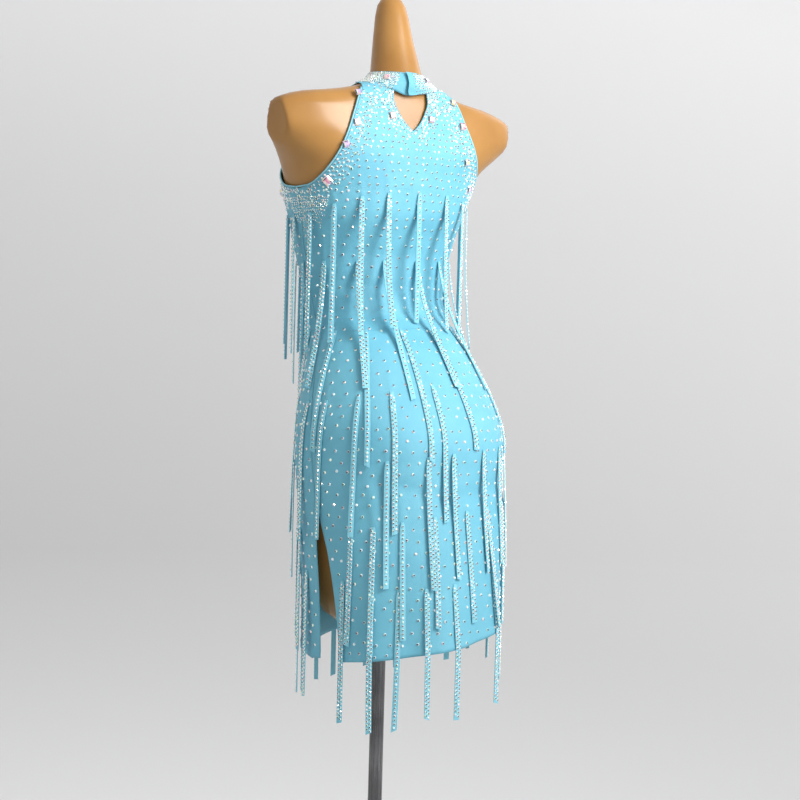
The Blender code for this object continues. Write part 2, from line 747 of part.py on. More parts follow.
def fill_tape(marks, start, end, closed):
    """Add places to the long runs of tape between strips, and its ends where it is open."""
    if closed:
        marks = marks + [(marks[0][0] + 360, False)]
    else:
        marks = [(start, False)] + marks + [(end, False)]
    filled = []
    for (angle, starts_strip), (after, _) in zip(marks, marks[1:]):
        runs = 1 if starts_strip else math.ceil((after - angle) / TAPE_RUN)
        filled.append((angle, starts_strip))
        filled += [(angle + (after - angle) * k / runs, False) for k in range(1, runs)]
    return filled if closed else filled + marks[-1:]


def make_fringe(row, tree, chance):
    """One row: a tape round the body with its strips hanging from it."""
    name, left_height, _, right_height, length = row[:5]
    start, end, closed = ring_span(row)
    middle_height = (left_height + right_height) / 2
    marks = []
    for root in strip_angles(row):
        place = root + chance.uniform(-STRIP_SPREAD, STRIP_SPREAD)
        near = dress_point(place, middle_height)[0]
        far = dress_point(place + 1, middle_height)[0]
        half = STRIP_WIDTH / 2 / (far - near).length
        marks += [(place - half, True), (place + half, False)]
    marks = fill_tape(marks, start, end, closed)
    edges = [angle for angle, _ in marks]
    lifts = tape_lifts(tree, row, edges, closed)
    bm = bmesh.new()
    made = []
    for angle, lift in zip(edges, lifts):
        section = tape_section(tree, angle, tape_height(row, angle), lift)
        made.append([bm.verts.new(point) for point in section])
    strips = []
    pairs = list(zip(made, made[1:])) + ([(made[-1], made[0])] if closed else [])
    for (near, far), (_, starts_strip) in zip(pairs, marks):
        for k in range(4):
            j = (k + 1) % 4
            face = bm.faces.new((near[k], near[j], far[j], far[k]))
            if k == 2 and starts_strip:
                strips.append(face)
    if not closed:
        bm.faces.new(made[0])
        bm.faces.new(list(reversed(made[-1])))
    for face in strips:
        hang_strip(bm, face, tree, length * (1 + chance.uniform(-1, 1) * LENGTH_SPREAD))
    return add_object(name, bm, "fringe_cloth")


def hang_strip(bm, face, tree, length):
    """Draw one strip down from a face on the tape's lower edge."""
    corners = [vertex.co.copy() for vertex in face.verts]
    for section in strip_sections(tree, corners, length):
        face = bmesh.ops.extrude_discrete_faces(bm, faces=[face])["faces"][0]
        for vertex, place in zip(face.verts, section):
            vertex.co = place


def make_stone(name, angle, height, side, turn, carrier):
    """Square stone with a flat back and a cut, flat-topped front."""
    if carrier == "band":
        place = band_point(angle, height, band_face(height))
        above, below = (band_point(angle, level, band_face(level))
                        for level in (height + NORMAL_STEP, height - NORMAL_STEP))
        across = band_point(angle + 1, height, band_face(height)) - place
        normal = across.cross(above - below).normalized()
    else:
        place = dress_point(angle, height)[0]
        normal = dress_normal(angle, height)
    radius = side / math.sqrt(2)
    bm = bmesh.new()
    bmesh.ops.create_cone(bm, cap_ends=True, segments=4, radius1=radius,
                          radius2=radius * STONE_TABLE, depth=STONE_HEIGHT)
    stone = add_object(name, bm, "stones", smooth=False)
    spin = Quaternion((0, 0, 1), math.radians(45 + turn))
    stone.rotation_mode = "QUATERNION"
    stone.rotation_quaternion = normal.to_track_quat("Z", "Y") @ spin
    stone.location = place + normal * (STONE_SEAT + STONE_HEIGHT / 2)


def main():
    for old in list(bpy.data.objects):
        bpy.data.objects.remove(old)
    make_stand()
    make_dress_form()
    panels = [make_panel("back_panel", "back"), make_panel("front_panel", "front")]
    make_neck_band()
    make_neck_tab()
    make_binding("armhole_binding_left", False)
    make_binding("armhole_binding_right", True)
    chance = random.Random(SEED)
    carriers = list(panels)
    for row in reversed(FRINGE_ROWS):
        carriers.append(make_fringe(row, search_tree(carriers), chance))
    for row in STONES:
        make_stone(*row)


main()
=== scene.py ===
"""Looks of a halter tassel dress on a limbless dress form, which stands on a pole.

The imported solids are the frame, and every piece here is built round them in the same place.
Front is -Y, back is +Y, the form's left is +X, and the floor is z = 0. Sizes in metres.
"""

import functools
import math
import random

import bpy
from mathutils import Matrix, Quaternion, Vector
from mathutils.bvhtree import BVHTree


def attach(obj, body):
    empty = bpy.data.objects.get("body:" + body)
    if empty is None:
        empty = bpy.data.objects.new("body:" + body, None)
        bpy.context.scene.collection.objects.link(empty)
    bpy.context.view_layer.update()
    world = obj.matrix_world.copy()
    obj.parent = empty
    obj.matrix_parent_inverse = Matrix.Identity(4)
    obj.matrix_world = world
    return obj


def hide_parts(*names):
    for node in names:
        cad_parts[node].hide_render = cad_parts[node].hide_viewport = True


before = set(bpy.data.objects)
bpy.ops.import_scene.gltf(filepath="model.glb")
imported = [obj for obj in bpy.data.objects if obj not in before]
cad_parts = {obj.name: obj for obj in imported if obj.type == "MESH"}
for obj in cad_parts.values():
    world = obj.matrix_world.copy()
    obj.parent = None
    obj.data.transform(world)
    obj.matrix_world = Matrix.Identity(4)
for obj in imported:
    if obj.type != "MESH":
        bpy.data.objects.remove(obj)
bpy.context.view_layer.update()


# Camera: a long lens at the height of the hips, behind the form's left shoulder.
# The photograph is turned a little clockwise and its pole stands left of the middle.
# Colours are shown plainly, as a product photograph shows them.
CAMERA_BEARING = math.radians(147)
CAMERA_DISTANCE = 3.5
CAMERA_HEIGHT = 1.10
CAMERA_ROLL = math.radians(1.55)
PHOTO_WIDTH = 800
FOCAL_PIXELS = 2258
AXIS_SHIFT_PIXELS = 14.6
HORIZON_DROP_PIXELS = 100
SENSOR_WIDTH = 36

toward_camera = Vector((math.sin(CAMERA_BEARING), -math.cos(CAMERA_BEARING), 0.0))
camera_right = Vector((math.cos(CAMERA_BEARING), math.sin(CAMERA_BEARING), 0.0))
metres_per_pixel = CAMERA_DISTANCE / FOCAL_PIXELS
camera_data = bpy.data.cameras.new("camera")
camera_data.sensor_width = SENSOR_WIDTH
camera_data.lens = FOCAL_PIXELS / PHOTO_WIDTH * SENSOR_WIDTH
camera = bpy.data.objects.new("camera", camera_data)
camera.location = toward_camera * CAMERA_DISTANCE + Vector((0, 0, CAMERA_HEIGHT))
camera_target = camera_right * AXIS_SHIFT_PIXELS * metres_per_pixel
camera_target.z = CAMERA_HEIGHT - HORIZON_DROP_PIXELS * metres_per_pixel
camera_turn = (camera_target - camera.location).to_track_quat("-Z", "Y")
camera.rotation_euler = (camera_turn @ Quaternion((0, 0, 1), CAMERA_ROLL)).to_euler()
bpy.context.scene.collection.objects.link(camera)
bpy.context.scene.camera = camera
bpy.context.scene.view_settings.view_transform = "Standard"


# Studio: a matt pale paper floor that curves up into a round wall, and soft lamps.
# The large lamp stands to the right of the camera, and a weak one fills from the left.
FLOOR_RADIUS = 6.0
CURVE_RADIUS = 1.6
WALL_TOP = 6.5
STUDIO_SIDES = 96
CURVE_STEPS = 12
FLOOR_MIDDLE = 0.01
# Painted shade: the paper's colour darkens towards the floor and to the left, away from the lamp,
# and lightens up the wall and to the right. The paper also glows faintly, as painted light.
PAPER_SHADE_SLOPE = 0.35
PAPER_PAINTED_GLOW = 0.22
PAPER_ROUGHNESS = 0.95
# Rise of the paper's painted shade ramp per metre and its value at the floor's middle.
PAPER_SHADE_RAMP = (0.26, 0.2)
GRAIN_SCALE = 220.0
GRAIN_DEPTH = 0.04
PAPER_SHADED_FLOOR = (0.52, 0.52, 0.52, 1.0)
PAPER_LIT_WALL = (0.93, 0.93, 0.935, 1.0)
WORLD_COLOUR = (1.0, 1.0, 1.0, 1.0)
WORLD_STRENGTH = 0.72
# Columns: name, right of the form, towards the camera, height, width, power, spread in degrees.
LAMPS = [
    ("key_lamp", 1.8, 1.15, 2.25, 1.2, 16, 74),
    ("fill_lamp", -2.4, 2.2, 1.7, 1.6, 2, 180),
    ("back_lamp", 1.6, -1.8, 2.4, 1.4, 6, 180),
]
LAMP_AIM = Vector((0, 0, 1.35))


def new_material(name):
    """A material with its Principled shader, as its tree and its shader."""
    material = bpy.data.materials.new(name)
    material.use_nodes = True
    return material, material.node_tree, material.node_tree.nodes["Principled BSDF"]


def feed(tree, node, terms):
    """Give a node's sockets plain values, or join them to other sockets."""
    for socket, term in dict(terms).items():
        if isinstance(term, bpy.types.NodeSocket):
            tree.links.new(term, node.inputs[socket])
        else:
            node.inputs[socket].default_value = term


def add_node(tree, kind, terms=(), **settings):
    """A shader node with its settings, and its sockets' terms by name or number."""
    made = tree.nodes.new("ShaderNode" + kind)
    for key, value in settings.items():
        setattr(made, key, value)
    feed(tree, made, terms)
    return made


def maths(tree, operation, *terms):
    """Result of one sum whose terms are numbers or sockets."""
    return add_node(tree, "Math", enumerate(terms), operation=operation).outputs[0]


def mix_colours(tree, share, first, second):
    """Blend of two colours by a share from 0 to 1."""
    return add_node(tree, "Mix", {0: share, 6: first, 7: second}, data_type="RGBA").outputs[2]


def object_noise(tree, scale, detail=3.0, roughness=0.5, place=None):
    """Noise fixed to the object, from 0 to 1, at a scale per metre."""
    place = place or add_node(tree, "TexCoord").outputs["Object"]
    terms = {"Vector": place, "Scale": scale, "Detail": detail, "Roughness": roughness}
    return add_node(tree, "TexNoise", terms).outputs["Fac"]


def bump(tree, shader, height, distance, strength=1.0):
    """Relief on a shader from a height socket."""
    terms = {"Strength": strength, "Distance": distance, "Height": height}
    feed(tree, shader, {"Normal": add_node(tree, "Bump", terms).outputs["Normal"]})


def add_piece(name, points, faces, material, smooth=True):
    """An object from points and faces, in the scene."""
    mesh = bpy.data.meshes.new(name)
    mesh.from_pydata([tuple(point) for point in points], [], faces)
    mesh.update()
    mesh.materials.append(material)
    if smooth:
        mesh.shade_smooth()
    piece = bpy.data.objects.new(name, mesh)
    bpy.context.scene.collection.objects.link(piece)
    return piece


def grid_faces(rows, columns, wrap=False, start=0):
    """Quads of a grid whose rows run from the top down and columns round to the left."""
    faces = []
    for row in range(rows - 1):
        for column in range(columns if wrap else columns - 1):
            after = (column + 1) % columns
            upper, lower = start + row * columns, start + (row + 1) * columns
            faces.append((upper + column, lower + column, lower + after, upper + after))
    return faces


def make_studio():
    """Paper floor and wall as one surface of revolution, seen from inside, with painted shade and
    a faint painted glow.
    """
    outline = [(FLOOR_MIDDLE, 0.0), (FLOOR_RADIUS / 2, 0.0)]
    for step in range(CURVE_STEPS + 1):
        turn = math.pi / 2 * step / CURVE_STEPS
        outline.append((FLOOR_RADIUS + CURVE_RADIUS * math.sin(turn),
                        CURVE_RADIUS * (1 - math.cos(turn))))
    outline.append((FLOOR_RADIUS + CURVE_RADIUS, WALL_TOP))
    points = []
    for radius, height in outline:
        for side in range(STUDIO_SIDES):
            turn = math.tau * side / STUDIO_SIDES
            points.append((radius * math.cos(turn), radius * math.sin(turn), height))
    paper, tree, shader = new_material("backdrop_paper_painted_shade")
    # Painted shade: the colour runs from the shaded floor tone to the lit wall tone, upwards and
    # to the right. Only the grain is the paper's own.
    slope = (camera_right.x * PAPER_SHADE_SLOPE, camera_right.y * PAPER_SHADE_SLOPE, 1.0)
    place = add_node(tree, "TexCoord").outputs["Object"]
    level = add_node(tree, "VectorMath", {0: place, 1: slope}, operation="DOT_PRODUCT")
    share = maths(tree, "MULTIPLY_ADD", level.outputs["Value"], *PAPER_SHADE_RAMP)
    share = maths(tree, "MULTIPLY_ADD", object_noise(tree, GRAIN_SCALE), GRAIN_DEPTH, share)
    shade_ramp = add_node(tree, "Clamp", {"Value": share})
    colour = mix_colours(tree, shade_ramp.outputs["Result"], PAPER_SHADED_FLOOR, PAPER_LIT_WALL)
    # The paper's colour also glows: painted light.
    feed(tree, shader, {"Base Color": colour, "Emission Color": colour,
                        "Emission Strength": PAPER_PAINTED_GLOW, "Roughness": PAPER_ROUGHNESS})
    faces = grid_faces(len(outline), STUDIO_SIDES, wrap=True)
    studio = add_piece("studio_floor", points, faces, paper)
    studio.visible_shadow = False
    return studio


def make_lamps():
    """Square soft lamps that look at the middle of the dress."""
    for name, right, near, height, width, power, spread in LAMPS:
        lamp = bpy.data.lights.new(name, "AREA")
        lamp.size = width
        lamp.energy = power
        lamp.spread = math.radians(spread)
        holder = bpy.data.objects.new(name, lamp)
        holder.location = camera_right * right + toward_camera * near + Vector((0, 0, height))
        holder.rotation_euler = (LAMP_AIM - holder.location).to_track_quat("-Z", "Y").to_euler()
        bpy.context.scene.collection.objects.link(holder)


make_studio()
make_lamps()
world = bpy.data.worlds.new("studio_light")
world.use_nodes = True
feed(world.node_tree, world.node_tree.nodes["Background"],
     {"Color": WORLD_COLOUR, "Strength": WORLD_STRENGTH})
bpy.context.scene.world = world


# Stand: a round steel base, a steel pole, and the turned sockets at both its ends.
# The steel is brushed along the pole and round the base, with fine handling marks.
STEEL_LIGHT = (0.24, 0.24, 0.245, 1.0)
STEEL_DARK = (0.035, 0.035, 0.038, 1.0)
# How a pattern is scaled into a finish: its gain and what is added.
STEEL_TONE = (3.4, -0.35)
STEEL_ROUGHNESS = (0.22, 0.26)
# Patterns per metre: streaks and patches.
STEEL_SCALES = (420.0, 9.0)
# A relief's depth in metres and its strength.
STEEL_RELIEF = (0.00012, 0.6)
# Streaks above the first value start to count as marks, and above the second they do fully.
MARK_RANGE = (0.62, 0.72)


def new_group(name, inputs, outputs):
    """An empty shader node group: its tree, the sockets it is given and its result node."""
    tree = bpy.data.node_groups.new(name, "ShaderNodeTree")
    for label, value in inputs.items():
        socket = tree.interface.new_socket(label, in_out="INPUT", socket_type="NodeSocketFloat")
        socket.default_value = value
    for label in outputs:
        tree.interface.new_socket(label, in_out="OUTPUT", socket_type="NodeSocketFloat")
    return tree, tree.nodes.new("NodeGroupInput").outputs, tree.nodes.new("NodeGroupOutput")


def make_wear_group():
    """Fine streaks and soft patches that any hard finish of the stand and form can use."""
    tree, given, result = new_group(
        "handling_wear", {"Streak Scale": 200.0, "Patch Scale": 12.0, "Flatten": 0.05},
        ("Streaks", "Patches", "Marks"))
    place = add_node(tree, "TexCoord").outputs["Object"]
    stretch = add_node(tree, "CombineXYZ", {0: 1.0, 1: 1.0, 2: given["Flatten"]})
    sized = add_node(tree, "VectorMath", {0: place, 1: stretch.outputs[0]}, operation="MULTIPLY")
    streaks = object_noise(tree, given["Streak Scale"], 6.0, 0.7, sized.outputs[0])
    patches = object_noise(tree, given["Patch Scale"], 4.0)
    marks = add_node(tree, "MapRange", {0: streaks, 1: MARK_RANGE[0], 2: MARK_RANGE[1]})
    feed(tree, result, {"Streaks": streaks, "Patches": patches, "Marks": marks.outputs["Result"]})
    return tree


def place_wear(tree, streaks, patches, flatten):
    """The wear group in a material, at the material's own scales, as its outputs."""
    terms = {"Streak Scale": streaks, "Patch Scale": patches, "Flatten": flatten}
    return add_node(tree, "Group", terms, node_tree=wear_group).outputs


def make_steel(name, flatten):
    """Brushed steel whose streaks run up where the pattern is flattened in height."""
    material, tree, shader = new_material(name)
    wear = place_wear(tree, *STEEL_SCALES, flatten)
    tone = maths(tree, "MULTIPLY", wear["Streaks"], wear["Patches"])
    tone = maths(tree, "MULTIPLY_ADD", tone, *STEEL_TONE)
    feed(tree, shader, {"Base Color": mix_colours(tree, tone, STEEL_DARK, STEEL_LIGHT),
                        "Roughness": maths(tree, "MULTIPLY_ADD", wear["Marks"], *STEEL_ROUGHNESS),
                        "Metallic": 0.9})
    bump(tree, shader, wear["Streaks"], *STEEL_RELIEF)
    return material


wear_group = make_wear_group()
pole_steel = make_steel("pole_steel", 0.03)
base_steel = make_steel("base_steel", 1.0)
# Columns: node, finish.
for node_name, steel in (("pole", pole_steel), ("form_flange", pole_steel),
                         ("base_socket", pole_steel), ("base_plate", base_steel)):
    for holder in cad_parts[node_name].material_slots:
        holder.material = steel


# Dress form: a hollow moulded torso without head or limbs, with a rounded neck column.
# Its shell is a glossy tan plastic, a little uneven in colour, flat where arms would be.
# Columns: height, half width, centre y, depth to the back, depth to the front, squareness.
FORM_SECTIONS = [
    (1.565, 0.009, -0.014, 0.010, 0.010, 2.0),
    (1.562, 0.016, -0.014, 0.016, 0.016, 2.0),
    (1.552, 0.022, -0.013, 0.022, 0.022, 2.0),
    (1.535, 0.026, -0.011, 0.026, 0.026, 2.0),
    (1.500, 0.031, -0.006, 0.031, 0.031, 2.0),
    (1.446, 0.041, 0.006, 0.0365, 0.0395, 2.0),
    (1.437, 0.050, 0.010, 0.036, 0.044, 2.0),
    (1.424, 0.070, 0.011, 0.035, 0.046, 2.0),
    (1.414, 0.112, 0.006, 0.038, 0.052, 2.0),
    (1.403, 0.178, 0.002, 0.042, 0.058, 2.1),
    (1.385, 0.215, 0.000, 0.047, 0.061, 2.3),
    (1.360, 0.222, -0.003, 0.056, 0.070, 2.3),
    (1.330, 0.196, -0.010, 0.069, 0.088, 2.3),
    (1.300, 0.166, -0.024, 0.083, 0.102, 2.4),
    (1.270, 0.149, -0.031, 0.088, 0.108, 2.4),
    (1.235, 0.137, -0.033, 0.087, 0.112, 2.3),
    (1.190, 0.127, -0.040, 0.079, 0.104, 2.2),
    (1.160, 0.120, -0.042, 0.073, 0.094, 2.2),
    (1.120, 0.113, -0.042, 0.072, 0.085, 2.2),
    (1.080, 0.109, -0.034, 0.075, 0.081, 2.2),
    (1.050, 0.115, -0.015, 0.085, 0.084, 2.2),
    (1.020, 0.126, 0.001, 0.098, 0.087, 2.2),
    (0.980, 0.140, 0.016, 0.112, 0.090, 2.2),
    (0.940, 0.152, 0.026, 0.124, 0.093, 2.2),
    (0.900, 0.160, 0.031, 0.132, 0.094, 2.2),
    (0.860, 0.162, 0.033, 0.135, 0.094, 2.2),
    (0.820, 0.158, 0.030, 0.127, 0.091, 2.2),
    (0.760, 0.150, 0.023, 0.110, 0.086, 2.2),
    (0.700, 0.140, 0.016, 0.096, 0.080, 2.2),
    (0.650, 0.124, 0.011, 0.081, 0.071, 2.1),
    (0.620, 0.102, 0.008, 0.064, 0.057, 2.0),
    (0.605, 0.078, 0.005, 0.048, 0.044, 2.0),
    (0.600, 0.055, 0.003, 0.044, 0.042, 2.0),
]
ARM_CUT_X = 0.210
ARM_CUT_HEIGHT = 1.395
ARM_CUT_LEAN = 0.20
UNDERARM_HEIGHT = 1.255
SHOULDER_TILT = 0.03
TILT_START = 1.29
TILT_FULL = 1.39
# Soft swells of the figure. Columns: angle, height, spread in degrees, spread in height, rise.
SWELLS = [
    (244, 1.258, 28, 0.050, 0.017),
    (296, 1.258, 28, 0.050, 0.017),
    (66, 0.885, 26, 0.055, 0.012),
    (114, 0.885, 26, 0.055, 0.012),
]
# Rows at the top of the neck and at the lower end that keep their own heights.
NECK_CAP, LOWER_CAP = 6, 4
FORM_STEP = 0.005
FORM_COLUMNS = 120
TAN_LIGHT = (0.42, 0.215, 0.062, 1.0)
TAN_DEEP = (0.31, 0.148, 0.038, 1.0)
TAN_TONE = (2.2, -0.6)
TAN_ROUGHNESS = (0.12, 0.30)
# Streaks and patches per metre, and how far they are drawn out.
TAN_WEAR = (70.0, 11.0, 0.6)
TAN_RELIEF = (0.0004, 0.25)


def limited_slope(rows, index, column, fallback):
    """Slope at one row: the harmonic mean of the slopes on both sides of it."""
    if index == 0 or index == len(rows) - 1:
        return fallback
    above, here, below = rows[index - 1], rows[index], rows[index + 1]
    first = (here[column] - above[column]) / (here[0] - above[0])
    second = (below[column] - here[column]) / (below[0] - here[0])
    if first * second <= 0:
        return 0.0
    return 2 * first * second / (first + second)


def blend_rows(rows, height):
    """Values at one height from rows listed from the top down, without overshoot."""
    if height >= rows[0][0]:
        return tuple(rows[0][1:])
    if height <= rows[-1][0]:
        return tuple(rows[-1][1:])
    index = next(i for i in range(len(rows) - 1) if rows[i + 1][0] <= height)
    upper, lower = rows[index], rows[index + 1]
    gap = lower[0] - upper[0]
    t = (height - upper[0]) / gap
    values = []
    for column in range(1, len(upper)):
        slope = (lower[column] - upper[column]) / gap
        start = limited_slope(rows, index, column, slope)
        end = limited_slope(rows, index + 1, column, slope)
        values.append(
            upper[column] * (1 + 2 * t) * (1 - t) ** 2
            + lower[column] * t * t * (3 - 2 * t)
            + gap * (start * t * (1 - t) ** 2 - end * t * t * (1 - t))
        )
    return tuple(values)


def angle_gap(first, second):
    """Smallest difference between two angles in degrees."""
    return (first - second + 180) % 360 - 180


def swell(angle, height):
    """Rise of the bust and seat at one place."""
    rise = 0.0
    for centre, level, spread, reach, amount in SWELLS:
        across = angle_gap(angle, centre) / spread
        along = (height - level) / reach
        rise += amount * math.exp(-across * across - along * along)
    return rise


def ring_point(section, height, angle, outward):
    """Point and outward direction on a rounded section, at an angle in degrees."""
    half_width, centre_y, back, front, squareness = section
    turn = math.radians(angle)
    cosine, sine = math.cos(turn), math.sin(turn)
    depth = back if sine >= 0 else front
    power = 2.0 / squareness
    x = half_width * math.copysign(abs(cosine) ** power, cosine)
    y = depth * math.copysign(abs(sine) ** power, sine)
    slope_x = math.copysign(abs(cosine) ** (2 - power), cosine) / half_width
    slope_y = math.copysign(abs(sine) ** (2 - power), sine) / depth
    normal = Vector((slope_x, slope_y, 0.0)).normalized()
    tilt = min(1.0, max(0.0, (height - TILT_START) / (TILT_FULL - TILT_START)))
    rise = SHOULDER_TILT * x * tilt * tilt * (3 - 2 * tilt)
    return Vector((x, y + centre_y, height + rise)) + normal * outward, normal


@functools.lru_cache(maxsize=None)
def form_section(height):
    """The form's section at one height."""
    return blend_rows(FORM_SECTIONS, height)


def form_point(angle, height):
    """Point on the form's skin, with the flat cuts where the arms would be."""
    point, _ = ring_point(form_section(height), height, angle, swell(angle, height))
    if height > UNDERARM_HEIGHT:
        limit = ARM_CUT_X - ARM_CUT_LEAN * abs(height - ARM_CUT_HEIGHT)
        point.x = max(-limit, min(limit, point.x))
    return point


def make_form_shell():
    """Glossy tan plastic with a faint cloudiness, small scuffs and a lacquer coat."""
    material, tree, shader = new_material("form_shell_tan")
    wear = place_wear(tree, *TAN_WEAR)
    tone = maths(tree, "MULTIPLY_ADD", wear["Patches"], *TAN_TONE)
    feed(tree, shader, {"Base Color": mix_colours(tree, tone, TAN_DEEP, TAN_LIGHT),
                        "Roughness": maths(tree, "MULTIPLY_ADD", wear["Marks"], *TAN_ROUGHNESS),
                        "Specular IOR Level": 0.22, "Coat Weight": 0.16, "Coat Roughness": 0.12})
    bump(tree, shader, wear["Patches"], *TAN_RELIEF)
    return material


def tube_faces(rows, columns, start=0):
    """Faces of a closed tube: rings of quads, and a flat cap at both ends."""
    last = start + (rows - 1) * columns
    return grid_faces(rows, columns, wrap=True, start=start) + [
        tuple(range(start, start + columns)), tuple(reversed(range(last, last + columns)))]


def make_dress_form():
    """Smooth torso, from the top of the neck to the rounded lower end."""
    fixed = [row[0] for row in FORM_SECTIONS]
    steps = int((fixed[NECK_CAP - 1] - fixed[-LOWER_CAP]) / FORM_STEP)
    heights = fixed[:NECK_CAP]
    heights += [fixed[NECK_CAP - 1] - FORM_STEP * step for step in range(1, steps)]
    heights += fixed[-LOWER_CAP:]
    angles = [360 * step / FORM_COLUMNS for step in range(FORM_COLUMNS)]
    points = [form_point(angle, height) for height in heights for angle in angles]
    faces = tube_faces(len(heights), FORM_COLUMNS)
    return add_piece("dress_form_shell", points, faces, make_form_shell())


form_shell = make_dress_form()
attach(form_shell, "root")
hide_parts("dress_form")


# Back and front panels: stretch knit with a soft sheen, sewn together down the sides,
# open below the hip on the left, and pulled into small folds where the strips are sewn.
CLOTH_THICKNESS = 0.0012
CLOTH_REACH = 0.0045
SEAM_HALF_GAP = 0.0002
SEAM_MARGIN = 0.05
NECK_SEAM = 1.424
HIP_HEIGHT = 0.860
# Skirt sections below the hip. Same columns as the form's sections.
SKIRT_SECTIONS = [
    (0.807, 0.164, 0.040, 0.142, 0.107, 2.2),
    (0.750, 0.159, 0.046, 0.146, 0.118, 2.2),
    (0.650, 0.151, 0.054, 0.152, 0.126, 2.2),
    (0.540, 0.146, 0.061, 0.157, 0.134, 2.2),
]
# How far the left side seam leans back down the hip. Columns: height, angle in degrees.
SEAM_LEAN = [(1.120, 0.0), (0.957, 4.0), (0.860, 8.5), (0.807, 8.5), (0.700, 6.0), (0.540, 3.5)]
SLIT_TOP = 0.807
SLIT_FRONT_ANGLE = -2.0
SLIT_OPENING_REACH = 0.03
# Rows of strips this far above the slit run all round.
SLIT_CLEARANCE = 0.01
# The back edge of the slit. Columns: height, angle from the seam in degrees.
SLIT_BACK_EDGE = [(0.807, 0.0), (0.770, 2.0), (0.720, 7.0), (0.640, 11.0), (0.540, 14.0)]
# Columns: angle in degrees, height.
HEM = [(360, 0.557), (270, 0.582), (180, 0.616), (150, 0.614), (90, 0.586), (0, 0.558)]
HEM_LOWEST = 0.557
FLUTE_TOP = 0.790
FLUTE_GROWTH = 1.4
# Folds of the skirt. Columns: angle, spread in degrees, rise at the hem.
FLUTES = [
    (38, 9, 0.005), (62, 8, -0.006), (84, 9, 0.006), (104, 8, -0.005), (124, 9, 0.006),
    (143, 9, -0.006), (160, 9, 0.005), (200, 10, -0.005), (225, 11, 0.006), (252, 11, -0.006),
    (276, 11, 0.006), (302, 11, -0.005), (326, 10, 0.006),
]
NECK_TOP = 1.427
# Columns: height, half width of the back, half width of the front.
ARMHOLE = [
    (1.427, 0.0770, 0.0600), (1.417, 0.0810, 0.0640), (1.405, 0.0880, 0.0710),
    (1.386, 0.0960, 0.0820), (1.357, 0.1080, 0.0970), (1.336, 0.1170, 0.1090),
    (1.314, 0.1265, 0.1220), (1.297, 0.1340, 0.1340), (1.281, 0.1415, 0.1430),
    (1.268, 0.1490, 0.1505), (1.255, 0.2000, 0.2000),
]
# Columns: height, half width.
KEYHOLE = [
    (1.427, 0.0260), (1.417, 0.0295), (1.405, 0.0310), (1.386, 0.0240), (1.368, 0.0120),
    (1.357, 0.0000),
]
KEYHOLE_TIP = 1.357
PANEL_STEP = 0.0055
# The closer rows reach a little below the armhole, and two of them frame its lowest edge.
ARMHOLE_STEP = 0.0025
ARMHOLE_MARGIN = 0.004
UNDERARM_EDGE = 0.001
SKIRT_ROWS = 46
HALF_COLUMNS = 56
HALF_SPACING = 0.3
WELD_REACH = 0.00005
# Steps to either side of a place, in height and in degrees, that show which way it faces.
NORMAL_STEP = 0.004
NORMAL_TURN = 1
# Pulled folds. Columns: angle, height, half length, half width, slope in degrees, rise.
FOLDS = [
    (62, 1.225, 0.050, 0.0075, 62, 0.0016),
    (48, 1.205, 0.045, 0.0070, 50, 0.0015),
    (118, 1.220, 0.050, 0.0075, -60, 0.0016),
    (132, 1.195, 0.040, 0.0070, -45, 0.0014),
    (40, 1.105, 0.045, 0.0060, -14, 0.0016),
    (62, 1.122, 0.050, 0.0060, -8, -0.0012),
    (76, 1.092, 0.055, 0.0065, 6, 0.0014),
    (104, 1.110, 0.055, 0.0065, 10, 0.0016),
    (126, 1.098, 0.045, 0.0060, 16, -0.0012),
    (140, 1.078, 0.040, 0.0060, 20, 0.0016),
    (120, 1.066, 0.045, 0.0070, 14, 0.0012),
    (22, 1.068, 0.040, 0.0065, -22, 0.0014),
    (70, 0.820, 0.060, 0.0120, -12, -0.0022),
    (112, 0.818, 0.060, 0.0120, 12, -0.0022),
    (90, 0.850, 0.012, 0.0600, 0, -0.0022),
    (48, 0.800, 0.012, 0.0700, 8, 0.0018),
    (132, 0.795, 0.012, 0.0700, -8, 0.0018),
    (240, 1.200, 0.050, 0.0080, 55, 0.0014),
    (300, 1.200, 0.050, 0.0080, -55, 0.0014),
    (255, 1.100, 0.055, 0.0065, 8, 0.0014),
    (285, 1.084, 0.055, 0.0065, -8, 0.0014),
    (322, 1.100, 0.045, 0.0065, 16, 0.0014),
    (218, 1.096, 0.045, 0.0065, -16, 0.0014),
]
# Small tucks that the strips pull at their roots. Beyond a fold's reach it counts as flat.
PULL_LENGTH = 0.030
PULL_WIDTH = 0.0055
PULL_RISE = 0.0011
PULL_DROP = 0.004
FOLD_REACH = 3
# A place's distance round the body from its angle: share of the half width, and what is added.
ROUND_SHARE = 0.9
ROUND_EXTRA = 0.01
# Columns: name, tape height at the left side, centre back and right side, strip length, the
# angles of the strips seen from behind, first and last angle and number of the others.
FRINGE_ROWS = [
    ("fringe_row_1", 1.226, 1.264, 1.236, 0.212, (12, 37, 60, 77, 92, 112, 133), 153, 352, 11),
    ("fringe_row_2", 1.156, 1.160, 1.162, 0.195, (25, 56, 77, 100, 126), 150, 357, 9),
    ("fringe_row_3", 1.050, 1.058, 1.060, 0.190, (26, 53, 81, 103, 133), 158, 350, 9),
    ("fringe_row_4", 0.945, 0.974, 0.980, 0.198, (18, 42, 63, 88), 150, 362, 10),
    ("fringe_row_5", 0.852, 0.873, 0.886, 0.185, (58, 79, 92, 110, 126), 146, 335, 10),
    ("fringe_row_6", 0.752, 0.785, 0.798, 0.175, (32, 47, 63, 82, 98, 114), 133, 347, 13),
    ("fringe_row_7", 0.690, 0.682, 0.745, 0.205, (24, 42, 58, 74, 90, 118), 138, 352, 13),
]
STRIP_WIDTH = 0.0085
STRIP_SPREAD = 0.8
LENGTH_SPREAD = 0.07
